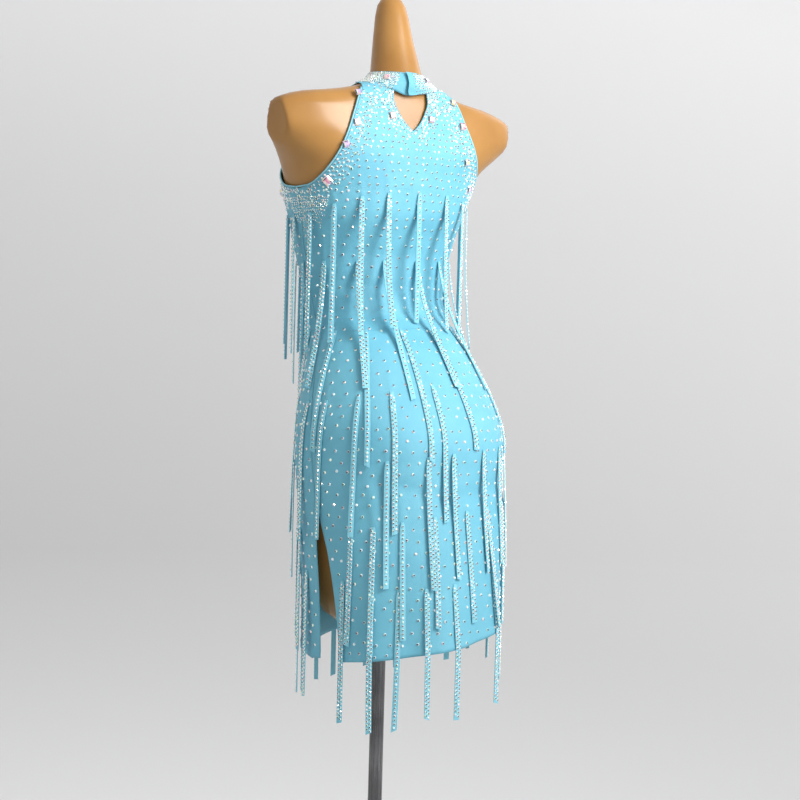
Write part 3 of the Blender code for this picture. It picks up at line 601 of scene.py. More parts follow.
TAPE_BOW = 1.5
SLIT_MARGIN = 4.0
FRINGE_SEED = 21
CLOTH_LIGHT = (0.170, 0.500, 0.625, 1.0)
CLOTH_DEEP = (0.105, 0.395, 0.530, 1.0)
HEM_HEIGHT = 0.012
HEM_RISE = 0.0006
# How knit is shaded. Its mottle's gain and what is added, the loops' gain, the fuzz's gain.
MOTTLE_TONE = (1.1, -0.25)
LOOP_TONE = 0.35
FUZZ_ROUGHNESS = 0.16
FUZZ_HEIGHT = 0.5
FUZZ_SCALE = 900.0
KNIT_RELIEF = (0.00022, 0.7)
# Loops: courses to a wale, how far a wale bends its courses, and a course's gain and base.
COURSES_TO_WALES = 1.2
LOOP_BEND = 2.4
COURSE_DEPTH = (0.3, 0.7)


def dress_rows():
    """Sections of the cloth's outer face, which lies on the shoulders, down to the hem."""
    rows = []
    for index, row in enumerate(FORM_SECTIONS):
        height, half_width, centre_y, back, front, squareness = row
        if HIP_HEIGHT <= height <= NECK_SEAM:
            above, below = FORM_SECTIONS[index - 1], FORM_SECTIONS[index + 1]
            slope = Vector((above[0] - below[0], max(0.0, below[1] - above[1]))).normalized()
            rows.append((height + CLOTH_REACH * slope.y, half_width + CLOTH_REACH * slope.x,
                         centre_y, back + CLOTH_REACH, front + CLOTH_REACH, squareness))
    return rows + SKIRT_SECTIONS


DRESS_SECTIONS = dress_rows()


@functools.lru_cache(maxsize=None)
def dress_section(height):
    """The cloth's section at one height."""
    return blend_rows(DRESS_SECTIONS, height)


def flute(angle, height):
    """Rise of the skirt's folds, which grow from the hips to the hem."""
    if height >= FLUTE_TOP:
        return 0.0
    growth = ((FLUTE_TOP - height) / (FLUTE_TOP - HEM_LOWEST)) ** FLUTE_GROWTH
    total = 0.0
    for centre, spread, rise in FLUTES:
        total += rise * math.exp(-((angle_gap(angle, centre) / spread) ** 2))
    return total * growth


def dress_point(angle, height, outward=0.0):
    """Point on the cloth's smooth outer face, and its horizontal outward direction."""
    rise = swell(angle, height) + flute(angle, height) + outward
    return ring_point(dress_section(height), height, angle, rise)


def dress_normal(angle, height):
    """Outward direction of the cloth, worked out from its neighbours."""
    left, right = (dress_point(angle + turn, height)[0] for turn in (NORMAL_TURN, -NORMAL_TURN))
    upper, lower = (dress_point(angle, height + step)[0] for step in (NORMAL_STEP, -NORMAL_STEP))
    return (left - right).cross(upper - lower).normalized()


def angle_at_width(height, half_width):
    """Angle on the left back, from the side, where the cloth is this far from the centre."""
    section = dress_section(height)
    share = min(1.0, half_width / section[0])
    return math.degrees(math.acos(share ** (section[4] / 2.0)))


def hem_height(angle):
    """Height of the hem at one angle."""
    return blend_rows(HEM, angle % 360)[0]


def seam_angle(height):
    """Half the side seam's gap, as an angle."""
    section = dress_section(height)
    return math.degrees(SEAM_HALF_GAP / min(section[2], section[3])) + SEAM_MARGIN


def seam_lean(height):
    """Angle of the left side seam, which leans back down the hip."""
    return blend_rows(SEAM_LEAN, height)[0]


def slit_growth(height):
    """How far the front edge of the slit has opened, from 0 at its top to 1."""
    return max(0.0, min(1.0, (SLIT_TOP - height) / SLIT_OPENING_REACH))


def panel_edges(height, side):
    """Angles of a panel's left edge, centre-left, centre-right and right edge."""
    left = seam_angle(height)
    right = 180 - left
    if height > UNDERARM_HEIGHT:
        column = 0 if side == "back" else 1
        left = max(left, angle_at_width(height, blend_rows(ARMHOLE, height)[column]))
        right = 180 - left
    lean = seam_lean(height)
    if side == "front":
        return lean + SLIT_FRONT_ANGLE * slit_growth(height) - left, -90, -90, -right
    left += lean
    if height < SLIT_TOP:
        left += blend_rows(SLIT_BACK_EDGE, height)[0]
    opening = 0.0
    if height > KEYHOLE_TIP:
        opening = 90 - angle_at_width(height, blend_rows(KEYHOLE, height)[0])
    return left, 90 - opening, 90 + opening, right


def even_angles(height, start, end, count):
    """Angles that divide the cloth's girth at one height into equal lengths."""
    steps = 360
    angles = [start + (end - start) * k / steps for k in range(steps + 1)]
    lengths = [0.0]
    for first, second in zip(angles, angles[1:]):
        lengths.append(lengths[-1] + (dress_point(second, height)[0]
                                      - dress_point(first, height)[0]).length)
    chosen = []
    for k in range(count):
        goal = lengths[-1] * (k + 0.5) / count
        index = next(i for i in range(steps) if lengths[i + 1] >= goal)
        chosen.append(angles[index] + (goal - lengths[index])
                      / (lengths[index + 1] - lengths[index]) * (end - start) / steps)
    return chosen


def tape_height(row, angle):
    """Height of a row's tape, blended between the left side, the back and the right side."""
    left, back, right = row[1:4]
    share = (1 - math.cos(math.radians(angle))) / 2
    sides = left + (right - left) * share
    bow = max(0.0, math.sin(math.radians(angle))) ** TAPE_BOW
    return sides + (back - (left + right) / 2) * bow


def ring_span(row):
    """Start and end angle of a row: all round, or from the slit round to the slit."""
    lowest = min(row[1:4])
    if lowest > SLIT_TOP + SLIT_CLEARANCE:
        return 0.0, 360.0, True
    start = seam_lean(lowest) + blend_rows(SLIT_BACK_EDGE, lowest)[0] + SLIT_MARGIN
    end = 360 + seam_lean(lowest) + SLIT_FRONT_ANGLE - SLIT_MARGIN
    return start, end, False


def plan_strips():
    """Angle and length of every strip, row by row from the bottom row up."""
    chance = random.Random(FRINGE_SEED)
    plan = {}
    for row in reversed(FRINGE_ROWS):
        name, _, _, _, length, seen, first, last, count = row
        roots = list(seen) + [first + (last - first) * k / (count - 1) for k in range(count)]
        places = [root + chance.uniform(-STRIP_SPREAD, STRIP_SPREAD) for root in roots]
        lengths = [length * (1 + chance.uniform(-1, 1) * LENGTH_SPREAD) for _ in roots]
        plan[name] = list(zip(places, lengths))
    return plan


strip_plan = plan_strips()
strip_roots = [(angle, tape_height(row, angle))
               for row in FRINGE_ROWS for angle, _ in strip_plan[row[0]]]


def fold_rise(angle, height):
    """Rise of the pulled folds and of the small tucks at the strips' roots."""
    girth = dress_section(height)[0] * ROUND_SHARE + ROUND_EXTRA
    rise = 0.0
    for centre, level, length, width, slope, amount in FOLDS:
        along = height - level
        across = math.radians(angle_gap(angle, centre)) * girth
        turn = math.radians(slope)
        first = (across * math.cos(turn) + along * math.sin(turn)) / length
        second = (along * math.cos(turn) - across * math.sin(turn)) / width
        if abs(first) < FOLD_REACH and abs(second) < FOLD_REACH:
            rise += amount * math.exp(-first * first - second * second)
    for centre, level in strip_roots:
        along = height - level - PULL_DROP
        if abs(along) < PULL_LENGTH * 2:
            across = math.radians(angle_gap(angle, centre)) * girth
            if abs(across) < PULL_WIDTH * 4:
                tuck = math.exp(-(along / PULL_LENGTH) ** 2 - (across / PULL_WIDTH) ** 2)
                rise += PULL_RISE * tuck
    return rise


def hem_rise(angle, height):
    """Rise of the turned hem at the lower edge."""
    return HEM_RISE if height - hem_height(angle) < HEM_HEIGHT else 0.0


def panel_levels():
    """Heights of the rows above the slit, closer together beside the armholes."""
    levels = []
    height = NECK_TOP
    while height > SLIT_TOP:
        levels.append(height)
        height -= ARMHOLE_STEP if height > UNDERARM_HEIGHT - ARMHOLE_MARGIN else PANEL_STEP
    exact = [KEYHOLE_TIP, UNDERARM_HEIGHT, UNDERARM_HEIGHT + UNDERARM_EDGE, SLIT_TOP]
    return sorted(set(levels) | set(exact), reverse=True)


def make_knit_group():
    """Rows of small knitted loops and a soft mottle, from the cloth's own flat sizes."""
    tree, given, result = new_group(
        "knit_loops",
        {"Wales per Metre": 1100.0, "Courses per Metre": 1300.0, "Mottle Scale": 16.0},
        ("Loops", "Mottle", "Fuzz"))
    flat = add_node(tree, "SeparateXYZ", {0: add_node(tree, "TexCoord").outputs["UV"]})
    across = maths(tree, "MULTIPLY", flat.outputs[0], given["Wales per Metre"])
    wale = maths(tree, "ABSOLUTE", maths(tree, "SINE", maths(tree, "MULTIPLY", across, math.pi)))
    along = maths(tree, "MULTIPLY", flat.outputs[1], given["Courses per Metre"])
    along = maths(tree, "MULTIPLY", along, math.tau)
    course = maths(tree, "SINE", maths(tree, "MULTIPLY_ADD", wale, LOOP_BEND, along))
    course = maths(tree, "MULTIPLY_ADD", course, *COURSE_DEPTH)
    mottle = object_noise(tree, given["Mottle Scale"], 5.0, 0.6)
    feed(tree, result, {"Loops": maths(tree, "MULTIPLY", wale, course), "Mottle": mottle,
                        "Fuzz": object_noise(tree, FUZZ_SCALE)})
    return tree


def make_knit(name, light, deep, wales, roughness, sheen):
    """Pale blue knit whose loops, mottle and fuzz shade its colour and raise its surface."""
    material, tree, shader = new_material(name)
    loops = {"Wales per Metre": wales, "Courses per Metre": wales * COURSES_TO_WALES}
    knit = add_node(tree, "Group", loops, node_tree=knit_group).outputs
    tone = maths(tree, "MULTIPLY_ADD", knit["Mottle"], *MOTTLE_TONE)
    tone = maths(tree, "MULTIPLY_ADD", knit["Loops"], LOOP_TONE, tone)
    base = roughness - FUZZ_ROUGHNESS / 2
    rough = maths(tree, "MULTIPLY_ADD", knit["Fuzz"], FUZZ_ROUGHNESS, base)
    feed(tree, shader, {"Base Color": mix_colours(tree, tone, deep, light), "Roughness": rough,
                        "Sheen Weight": sheen, "Sheen Roughness": 0.45,
                        "Sheen Tint": (0.75, 0.95, 1.0, 1.0)})
    relief = maths(tree, "MULTIPLY_ADD", knit["Fuzz"], FUZZ_HEIGHT, knit["Loops"])
    bump(tree, shader, relief, *KNIT_RELIEF)
    return material


def weld_seams(piece):
    """Join the points of a piece that lie on one another."""
    piece.modifiers.new("seam_join", "WELD").merge_threshold = WELD_REACH


def lay_flat(piece, flat_places):
    """Give a piece its cloth's flat coordinates, in metres, one for each point."""
    layer = piece.data.uv_layers.new(name="flat_cloth")
    for loop in piece.data.loops:
        layer.data[loop.index].uv = flat_places[loop.vertex_index]


def panel_angle(height, side, half, share):
    """Angle of a place on one half of a panel, from its left edge to its right."""
    first, last = panel_edges(height, side)[2 * half:2 * half + 2]
    return first + (last - first) * share


def make_panel(name, side, material):
    """One panel as a fine sheet of cloth with thickness, from the neck seam to the hem."""
    levels = panel_levels()
    rows = len(levels) + SKIRT_ROWS
    points, faces, flat_places = [], [], []
    for half in (0, 1):
        faces += grid_faces(rows, HALF_COLUMNS + 1, start=len(points))
        for row in range(rows):
            travelled = 0.0
            for column in range(HALF_COLUMNS + 1):
                share = column / HALF_COLUMNS
                height = levels[min(row, len(levels) - 1)]
                angle = panel_angle(height, side, half, share)
                if row >= len(levels):
                    drop = (row - len(levels) + 1) / SKIRT_ROWS
                    height = SLIT_TOP + (hem_height(angle) - SLIT_TOP) * drop
                    angle = panel_angle(height, side, half, share)
                rise = fold_rise(angle, height) + hem_rise(angle, height)
                place = dress_point(angle, height, rise)[0]
                if column:
                    travelled += (place - points[-1]).length
                points.append(place)
                flat_places.append((travelled + half * HALF_SPACING, height))
    if side == "front":
        faces = [tuple(reversed(face)) for face in faces]
    panel = add_piece(name, points, faces, material)
    lay_flat(panel, flat_places)
    weld_seams(panel)
    wall = panel.modifiers.new("cloth_thickness", "SOLIDIFY")
    wall.thickness = CLOTH_THICKNESS
    wall.offset = -1.0
    return panel


knit_group = make_knit_group()
dress_knit = make_knit("dress_knit", CLOTH_LIGHT, CLOTH_DEEP, 1100.0, 0.52, 0.12)
back_panel = make_panel("back_cloth", "back", dress_knit)
front_panel = make_panel("front_cloth", "front", dress_knit)
# Columns: piece, node, width and length of the cut, its area.
for piece, node_name, cut, cut_area in (
        (back_panel, "back_panel", (0.46, 0.87), 0.315),
        (front_panel, "front_panel", (0.42, 0.87), 0.290)):
    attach(piece, "root")
    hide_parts(node_name)


# Neck band: a double stand-up band of the same knit, sewn to the top of both panels.
# It fastens at the centre back under a tongue with a curved edge, above the keyhole.
# Columns: height, gap from the form.
BAND_LEVELS = [(1.446, 0.0008), (1.437, 0.0012), (1.4295, 0.0048), (1.4190, 0.0050)]
BAND_TOP = BAND_LEVELS[0][0]
BAND_LENGTH = 0.32
BAND_THICKNESS = 0.0016
BAND_ROWS = 12
BAND_COLUMNS = 144
TAB_THICKNESS = 0.0010
TAB_GAP = 0.0003
TAB_LIFT = 0.0038
TAB_CURL = 2.5
TAB_END = 106
TAB_LENGTH = 0.028
TAB_ROWS = 16
TAB_COLUMNS = 12
# How far the tongue's ends stand above the band's edges, at the top and at the bottom.
TAB_TOP_REACH = 0.0008
TAB_BOTTOM_REACH = 0.0004
# The tongue's free edge. Columns: share of its height from the top, angle.
TAB_EDGE = [(1.0, 87.0), (0.75, 83.5), (0.45, 82.0), (0.2, 80.5), (0.0, 77.5)]
BAND_TAPER = 0.6
SIDE_RISE = 0.0070
BAND_DIP = 0.0035
BAND_DIP_SPREAD = 24
TAB_DIP = 0.0045
TAB_DIP_SPREAD = 9
# Faces that meet at more than this stay sharp.
CUT_EDGE = math.radians(50)


def band_gap(height):
    """Gap between the form and the band's inner face at one height."""
    for upper, lower in zip(BAND_LEVELS, BAND_LEVELS[1:]):
        if height >= lower[0]:
            share = max(0.0, (upper[0] - height) / (upper[0] - lower[0]))
            return upper[1] + (lower[1] - upper[1]) * share
    return BAND_LEVELS[-1][1]


def band_point(angle, height, outward):
    """Point on the neck band, moved out from the form's neck."""
    return ring_point(form_section(height), height, angle, band_gap(height) + outward)[0]


def band_bottom(angle):
    """Height of the band's lower edge, which dips above the keyhole."""
    dip = BAND_DIP * math.exp(-(angle_gap(angle, 90) / BAND_DIP_SPREAD) ** 4)
    dip += TAB_DIP * math.exp(-(angle_gap(angle, TAB_EDGE[0][1]) / TAB_DIP_SPREAD) ** 2)
    rise = SIDE_RISE * math.cos(math.radians(angle)) ** 2
    return BAND_LEVELS[-1][0] - dip + rise


def band_lift(share):
    """Rise of the band's outer face, which thins towards its sewn lower edge."""
    return BAND_THICKNESS * (1 - BAND_TAPER * share)


def make_neck_band(material):
    """The band as a closed ring with an outer face, a rolled top edge and an inner face."""
    angles = [360 * step / BAND_COLUMNS for step in range(BAND_COLUMNS)]
    profile = [(step / BAND_ROWS, band_lift(step / BAND_ROWS)) for step in range(BAND_ROWS + 1)]
    profile += [(1 - step / BAND_ROWS, 0.0) for step in range(BAND_ROWS + 1)]
    profile.append((0.0, BAND_THICKNESS))
    points, flat_places = [], []
    for share, outward in profile:
        for angle in angles:
            height = BAND_TOP + (band_bottom(angle) - BAND_TOP) * share
            points.append(band_point(angle, height, outward))
            flat_places.append((angle / 360 * BAND_LENGTH, height))
    faces = grid_faces(len(profile), BAND_COLUMNS, wrap=True)
    band = add_piece("neck_band_cloth", points, faces, material)
    lay_flat(band, flat_places)
    weld_seams(band)
    return band


def make_neck_tab(material):
    """The tongue over the band's join, whose free edge runs in an S and stands a little proud."""
    points, flat_places = [], []
    for layer in (TAB_THICKNESS, 0.0):
        for row in range(TAB_ROWS + 1):
            share = row / TAB_ROWS
            start = blend_rows(TAB_EDGE, share)[0]
            for column in range(TAB_COLUMNS + 1):
                along = column / TAB_COLUMNS
                angle = start + (TAB_END - start) * along
                top, bottom = BAND_TOP + TAB_TOP_REACH, band_bottom(angle) + TAB_BOTTOM_REACH
                height = top + (bottom - top) * share
                lift = TAB_LIFT * (1 - along) ** TAB_CURL
                rise = band_lift(share) + TAB_GAP + layer + lift
                points.append(band_point(angle, height, rise))
                flat_places.append((TAB_LENGTH * along, height))
    stride = TAB_COLUMNS + 1
    size = (TAB_ROWS + 1) * stride
    outer = grid_faces(TAB_ROWS + 1, stride)
    inner = [tuple(reversed([size + corner for corner in face])) for face in outer]
    rim = [row * stride for row in range(TAB_ROWS + 1)]
    rim += [TAB_ROWS * stride + column for column in range(1, stride)]
    rim += [row * stride + TAB_COLUMNS for row in range(TAB_ROWS - 1, -1, -1)]
    rim += list(range(TAB_COLUMNS - 1, 0, -1))
    sides = [(first, first + size, second + size, second)
             for first, second in zip(rim, rim[1:] + rim[:1])]
    tab = add_piece("neck_tab_cloth", points, outer + inner + sides, material)
    tab.data.set_sharp_from_angle(angle=CUT_EDGE)
    lay_flat(tab, flat_places)
    return tab


neck_band = make_neck_band(dress_knit)
neck_tab = make_neck_tab(dress_knit)
# Columns: piece, node, width and length of the cut.
for piece, node_name, cut in ((neck_band, "neck_band", (0.42, 0.034)),
                              (neck_tab, "neck_tab", (0.026, 0.036))):
    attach(piece, "root")
    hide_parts(node_name)


# Armhole bindings: a narrow strip of the knit folded over each cut edge and stitched down.
# It runs from the neck seam at the back, under the arm, to the neck seam at the front.
BINDING_WIDTH = 0.0028
BINDING_THICKNESS = 0.0024
BINDING_GAP = 0.0002
BINDING_CORNERS = 10
BINDING_STEPS = 54
BINDING_END = 0.010
# The route's places crowd together under the arm, where it turns.
BINDING_CROWDING = 1.5
BINDING_FACET = 0.0008


def armhole_route(mirror):
    """Places along one armhole, from the back neck under the arm to the front neck."""
    reach = NECK_TOP - BINDING_END - UNDERARM_HEIGHT
    levels = [UNDERARM_HEIGHT + reach * (step / BINDING_STEPS) ** BINDING_CROWDING
              for step in range(BINDING_STEPS, 0, -1)]
    back, front = ([(panel_edges(height, side)[0], height) for height in levels]
                   for side in ("back", "front"))
    route = back + [(0.0, UNDERARM_HEIGHT)] + front[::-1]
    return [(180 - angle if mirror else angle, height) for angle, height in route]


def make_binding(name, mirror, material):
    """Rounded binding swept along the edge of one armhole."""
    route = armhole_route(mirror)
    places = [dress_point(angle, height)[0] for angle, height in route]
    points, flat_places = [], []
    travelled = 0.0
    for index, (angle, height) in enumerate(route):
        normal = dress_normal(angle, height)
        before = places[max(0, index - 1)]
        after = places[min(len(places) - 1, index + 1)]
        away = (after - before).cross(normal).normalized() * (-1 if mirror else 1)
        centre = places[index] - normal * (CLOTH_THICKNESS / 2)
        centre += away * (BINDING_GAP + BINDING_WIDTH / 2)
        travelled += (places[index] - before).length
        for corner in range(BINDING_CORNERS):
            turn = math.tau * corner / BINDING_CORNERS
            points.append(centre + away * (math.cos(turn) * BINDING_WIDTH / 2)
                          + normal * (math.sin(turn) * BINDING_THICKNESS / 2))
            flat_places.append((corner * BINDING_FACET, travelled))
    binding = add_piece(name, points, tube_faces(len(route), BINDING_CORNERS), material)
    lay_flat(binding, flat_places)
    return binding


# The binding's knit is painted lighter than the dress's knit, though it is the same cloth: a
# painted highlight along the armhole edges.
lit_binding_knit = make_knit("lit_binding_knit", (0.33, 0.68, 0.78, 1.0), CLOTH_LIGHT, 1300.0, 0.55, 0.15)
for side_name, mirror in (("left", False), ("right", True)):
    binding = make_binding(f"armhole_binding_cloth_{side_name}", mirror, lit_binding_knit)
    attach(binding, "root")
    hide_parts(f"armhole_binding_{side_name}")


# Tassel rows: narrow strips of knit hang from a tape that is stitched round the body.
# Each strip bridges the hollows of the back and falls straight past the fullest point.
TAPE_HEIGHT = 0.0016
TAPE_RISE = 0.0002
TAPE_COLUMNS = 180
# Flat length of the tape for each degree that it runs round, and gap between flat strips for
# each point before them.
TAPE_DEGREE = 0.002
FLAT_SPACING = 0.001
STRIP_THICKNESS = 0.0011
STRIP_DOME = 0.0004
STRIP_LEVELS = 26
STRIP_CORNERS = 5
# Gap between a strip and what it lies on, which opens from the root, and its rise per metre.
STRIP_CLEARANCE = 0.0009
ROOT_CLEARANCE = 0.3
CLEARANCE_GROWTH = 8
STRIP_LIFT = 0.003
STRIP_SLANT = 0.0022
STRIP_SEED = 5
ROOT_NARROWING = 0.45
ROOT_REACH = 0.016
STRIP_SWAY = 0.003
STRIP_TWIST = 16
PROBE_REACH = 0.12
# Where across its width a strip feels for what it lies on.
PROBES = (-1, -0.5, 0, 0.5, 1)
SMOOTHING_PASSES = 40


def wall_offset(tree, point, normal):
    """How far what the strip falls on lies outward from a point."""
    hit = tree.ray_cast(point + normal * PROBE_REACH, -normal, PROBE_REACH * 2)[0]
    return -PROBE_REACH if hit is None else (hit - point).dot(normal)


def strip_path(tree, angle, height, length, chance):
    """Centre, side direction and outward direction down one strip."""
    point, normal = dress_point(angle, height, fold_rise(angle, height))
    across = Vector((-normal.y, normal.x, 0.0))
    sway = chance.uniform(-STRIP_SWAY, STRIP_SWAY)
    twist = math.radians(chance.uniform(-STRIP_TWIST, STRIP_TWIST))
    drops = [level / STRIP_LEVELS for level in range(STRIP_LEVELS + 1)]
    places = [Vector((point.x, point.y, point.z - length * drop)) + across * sway * drop ** 2
              for drop in drops]
    offsets = []
    for drop, place in zip(drops, places):
        walls = [wall_offset(tree, place + across * side * STRIP_WIDTH / 2, normal)
                 for side in PROBES]
        clear = STRIP_CLEARANCE * min(1.0, ROOT_CLEARANCE + drop * CLEARANCE_GROWTH)
        clear += STRIP_LIFT * length * drop
        offset = max(walls) + clear + abs(math.sin(twist)) * drop ** 2 * STRIP_WIDTH / 2
        offsets.append(max([offset] + offsets[-1:]))
    for _ in range(SMOOTHING_PASSES):
        for level in range(1, STRIP_LEVELS):
            middle = (offsets[level - 1] + offsets[level + 1]) / 2
            offsets[level] = max(offsets[level], middle)
    path = []
    for drop, place, offset in zip(drops, places, offsets):
        turn = Quaternion((0, 0, 1), twist * drop ** 2)
        path.append((place + normal * offset, turn @ across, turn @ normal))
    return path


def strip_half_width(drop_length):
    """Half width of a strip, which is gathered where it is sewn."""
    share = min(1.0, drop_length / ROOT_REACH)
    return STRIP_WIDTH / 2 * (1 - ROOT_NARROWING * (1 - share) ** 2)


def add_strip(store, path, length, slant):
    """Mesh of one strip, slightly domed, with a slanting cut end."""
    start = len(store["points"])
    ring = STRIP_CORNERS * 2
    travelled = 0.0
    for level, (centre, across, normal) in enumerate(path):
        half = strip_half_width(length * level / STRIP_LEVELS)
        cut = Vector((0, 0, slant if level == STRIP_LEVELS else 0.0))
        travelled += (centre - path[max(0, level - 1)][0]).length
        for corner in range(ring):
            outer = corner < STRIP_CORNERS
            step = corner if outer else ring - 1 - corner
            share = step / (STRIP_CORNERS - 1) * 2 - 1
            rise = STRIP_THICKNESS + STRIP_DOME * (1 - share * share) if outer else 0.0
            store["points"].append(centre + across * half * share + normal * rise + cut * share)
            store["flat"].append((start * FLAT_SPACING + half * share, travelled))
    store["faces"] += tube_faces(STRIP_LEVELS + 1, ring, start)


def add_tape(store, row):
    """Low stitched tape along the tops of a row's strips."""
    begin, end, closed = ring_span(row)
    start = len(store["points"])
    count = TAPE_COLUMNS + (not closed)
    for level, rise in ((0.0, 0.0), (0.0, TAPE_RISE), (-TAPE_HEIGHT, TAPE_RISE),
                        (-TAPE_HEIGHT, 0.0)):
        for column in range(count):
            angle = begin + (end - begin) * column / TAPE_COLUMNS
            height = tape_height(row, angle) + level
            lift = fold_rise(angle, height) + rise
            store["points"].append(dress_point(angle, height, lift)[0])
            store["flat"].append((angle * TAPE_DEGREE, level))
    faces = grid_faces(4, count, wrap=closed, start=start)
    inner = start + 3 * count
    for column in range(TAPE_COLUMNS):
        after = (column + 1) % count
        faces.append((inner + column, start + column, start + after, inner + after))
    if not closed:
        faces.append(tuple(start + level * count for level in range(4)))
        faces.append(tuple(start + level * count + count - 1 for level in (3, 2, 1, 0)))
    store["faces"] += faces


def shift_faces(faces, start):
    """Faces whose corners count on from a start."""
    return [tuple(start + corner for corner in face) for face in faces]


def panel_shells():
    """Points and faces of both panels' outer faces, for strips and stones to lie on."""
    points, faces = [], []
    for panel in (back_panel, front_panel):
        faces += shift_faces([face.vertices for face in panel.data.polygons], len(points))
        points += [vertex.co.copy() for vertex in panel.data.vertices]
    return points, faces


def make_fringe_rows(material):
    """All the rows from the bottom up, each hung over the panels and the rows below it."""
    chance = random.Random(STRIP_SEED)
    points, faces = panel_shells()
    rows, paths = {}, {}
    for row in reversed(FRINGE_ROWS):
        name = row[0]
        tree = BVHTree.FromPolygons(points, faces)
        store = {"points": [], "faces": [], "flat": []}
        add_tape(store, row)
        tape_faces = len(store["faces"])
        paths[name] = []
        for angle, length in strip_plan[name]:
            path = strip_path(tree, angle, tape_height(row, angle), length, chance)
            add_strip(store, path, length, chance.uniform(-STRIP_SLANT, STRIP_SLANT))
            paths[name].append((path, length))
        piece = add_piece(name + "_cloth", store["points"], store["faces"], material)
        piece.data.set_sharp_from_angle(angle=CUT_EDGE)
        piece.data.materials.append(dress_knit)
        for face in piece.data.polygons[:tape_faces]:
            face.material_index = 1
        lay_flat(piece, store["flat"])
        faces += shift_faces(store["faces"], len(points))
        points += store["points"]
        rows[name] = piece
    return rows, paths


# The strips' knit is painted lighter than the dress's knit, though it is the same cloth: painted
# light. Their tapes keep the dress's knit.
lit_strip_knit = make_knit("lit_strip_knit", (0.25, 0.61, 0.72, 1.0), CLOTH_LIGHT, 1300.0, 0.50, 0.2)
fringe_rows, strip_paths = make_fringe_rows(lit_strip_knit)
for row in FRINGE_ROWS:
    piece = fringe_rows[row[0]]
    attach(piece, "root")
    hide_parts(row[0])


# Small stones: flat-backed cut glass with a rainbow coating, heat-set on the cloth.
# They lie in two zigzag lines on each strip, crowd the neck and armholes, and thin out below.
STONE_SIDES = 6
# Width of the table and height of the stone, as shares of its radius.
STONE_TABLE = 0.56
STONE_HEIGHT = 0.62
STONE_SINK = 0.0002
STRIP_STONE_RADIUS = 0.00212
STRIP_STONE_PITCH = 0.0058
STRIP_STONE_OFFSET = 0.0021
STRIP_STONE_START = 0.006
STRIP_STONE_END = 0.985
STRIP_STONE_SPREAD = 0.08
# Share of the strips with a single line of stones.
SINGLE_LINES = 0.22
# How much of the strip's dome the stones stand on.
DOME_SHARE = 0.7
STONE_TILT = 7
# Share of the small stones whose table is painted shade: dark glass that stands in for the dark
# reflection seen in a table.
PAINTED_SHADE_TABLES = 0.85
STONE_SEED = 11
FIRE_SCALE = 260.0
HAZE_SCALE = 35.0
# The coating's fire starts at the first value of its noise and is full at the second.
FIRE_RANGE = (0.38, 0.62)
GLASS_ROUGHNESS = (0.12, 0.02)
# Columns: name, body colour, fire colour, share of the stones.
CRYSTALS = [
    ("crystal_clear", (0.97, 0.99, 1.0, 1.0), (0.82, 0.98, 0.95, 1.0), 0.52),
    ("crystal_rose", (1.0, 0.78, 0.86, 1.0), (1.0, 0.95, 0.80, 1.0), 0.22),
    ("crystal_green", (0.72, 0.97, 0.80, 1.0), (0.96, 1.0, 0.86, 1.0), 0.26),
    # The last row is painted shade, a dark glass for tables and facets in place of dark
    # reflections.
    ("crystal_painted_shade", (0.07, 0.10, 0.105, 1.0), (0.20, 0.17, 0.21, 1.0), 0.0),
]


def make_fire_group():
    """Patches of rainbow coating that change over a few millimetres."""
    tree, given, result = new_group("rainbow_coating", {"Scale": FIRE_SCALE}, ("Fire", "Haze"))
    noise = object_noise(tree, given["Scale"], 2.0)
    fire = add_node(tree, "MapRange", {0: noise, 1: FIRE_RANGE[0], 2: FIRE_RANGE[1]})
    feed(tree, result, {"Fire": fire.outputs["Result"], "Haze": object_noise(tree, HAZE_SCALE)})
    return tree


def make_crystal(name, body, fire, scale, metallic):
    """Coated cut glass, bright as if backed with foil."""
    material, tree, shader = new_material(name)
    coating = add_node(tree, "Group", {"Scale": scale}, node_tree=fire_group).outputs
    feed(tree, shader, {"Base Color": mix_colours(tree, coating["Fire"], body, fire),
                        "Roughness": maths(tree, "MULTIPLY_ADD", coating["Haze"],
                                           *GLASS_ROUGHNESS),
                        "Metallic": metallic, "Coat Weight": 0.7, "Coat Roughness": 0.03})
    return material


def new_stone_store():
    """Empty lists for many stones that become one piece."""
    return {"points": [], "faces": [], "tints": []}


def set_stone(store, place, normal, radius, chance):
    """Add one stone: a ring of facets round a small table, at a slightly random tilt."""
    across = normal.orthogonal().normalized()
    along = normal.cross(across)
    tilt = Quaternion(across, math.radians(chance.gauss(0, STONE_TILT)))
    tilt = tilt @ Quaternion(along, math.radians(chance.gauss(0, STONE_TILT)))
    across, along, normal = tilt @ across, tilt @ along, tilt @ normal
    spin = chance.uniform(0, math.tau)
    start = len(store["points"])
    for level, share in ((-STONE_SINK, 1.0), (radius * STONE_HEIGHT, STONE_TABLE)):
        for side in range(STONE_SIDES):
            turn = spin + math.tau * side / STONE_SIDES
            store["points"].append(place + across * (math.cos(turn) * radius * share)
                                   + along * (math.sin(turn) * radius * share)
                                   + normal * level)
    for side in range(STONE_SIDES):
        after = (side + 1) % STONE_SIDES
        store["faces"].append((start + side, start + after,
                               start + STONE_SIDES + after, start + STONE_SIDES + side))
    store["faces"].append(tuple(start + STONE_SIDES + side for side in range(STONE_SIDES)))
    tint = chance.choices(range(len(CRYSTALS)), [row[3] for row in CRYSTALS])[0]
    # Most tables take the painted shade glass.
    table = len(CRYSTALS) - 1 if chance.random() < PAINTED_SHADE_TABLES else tint
    store["tints"] += [tint] * STONE_SIDES + [table]


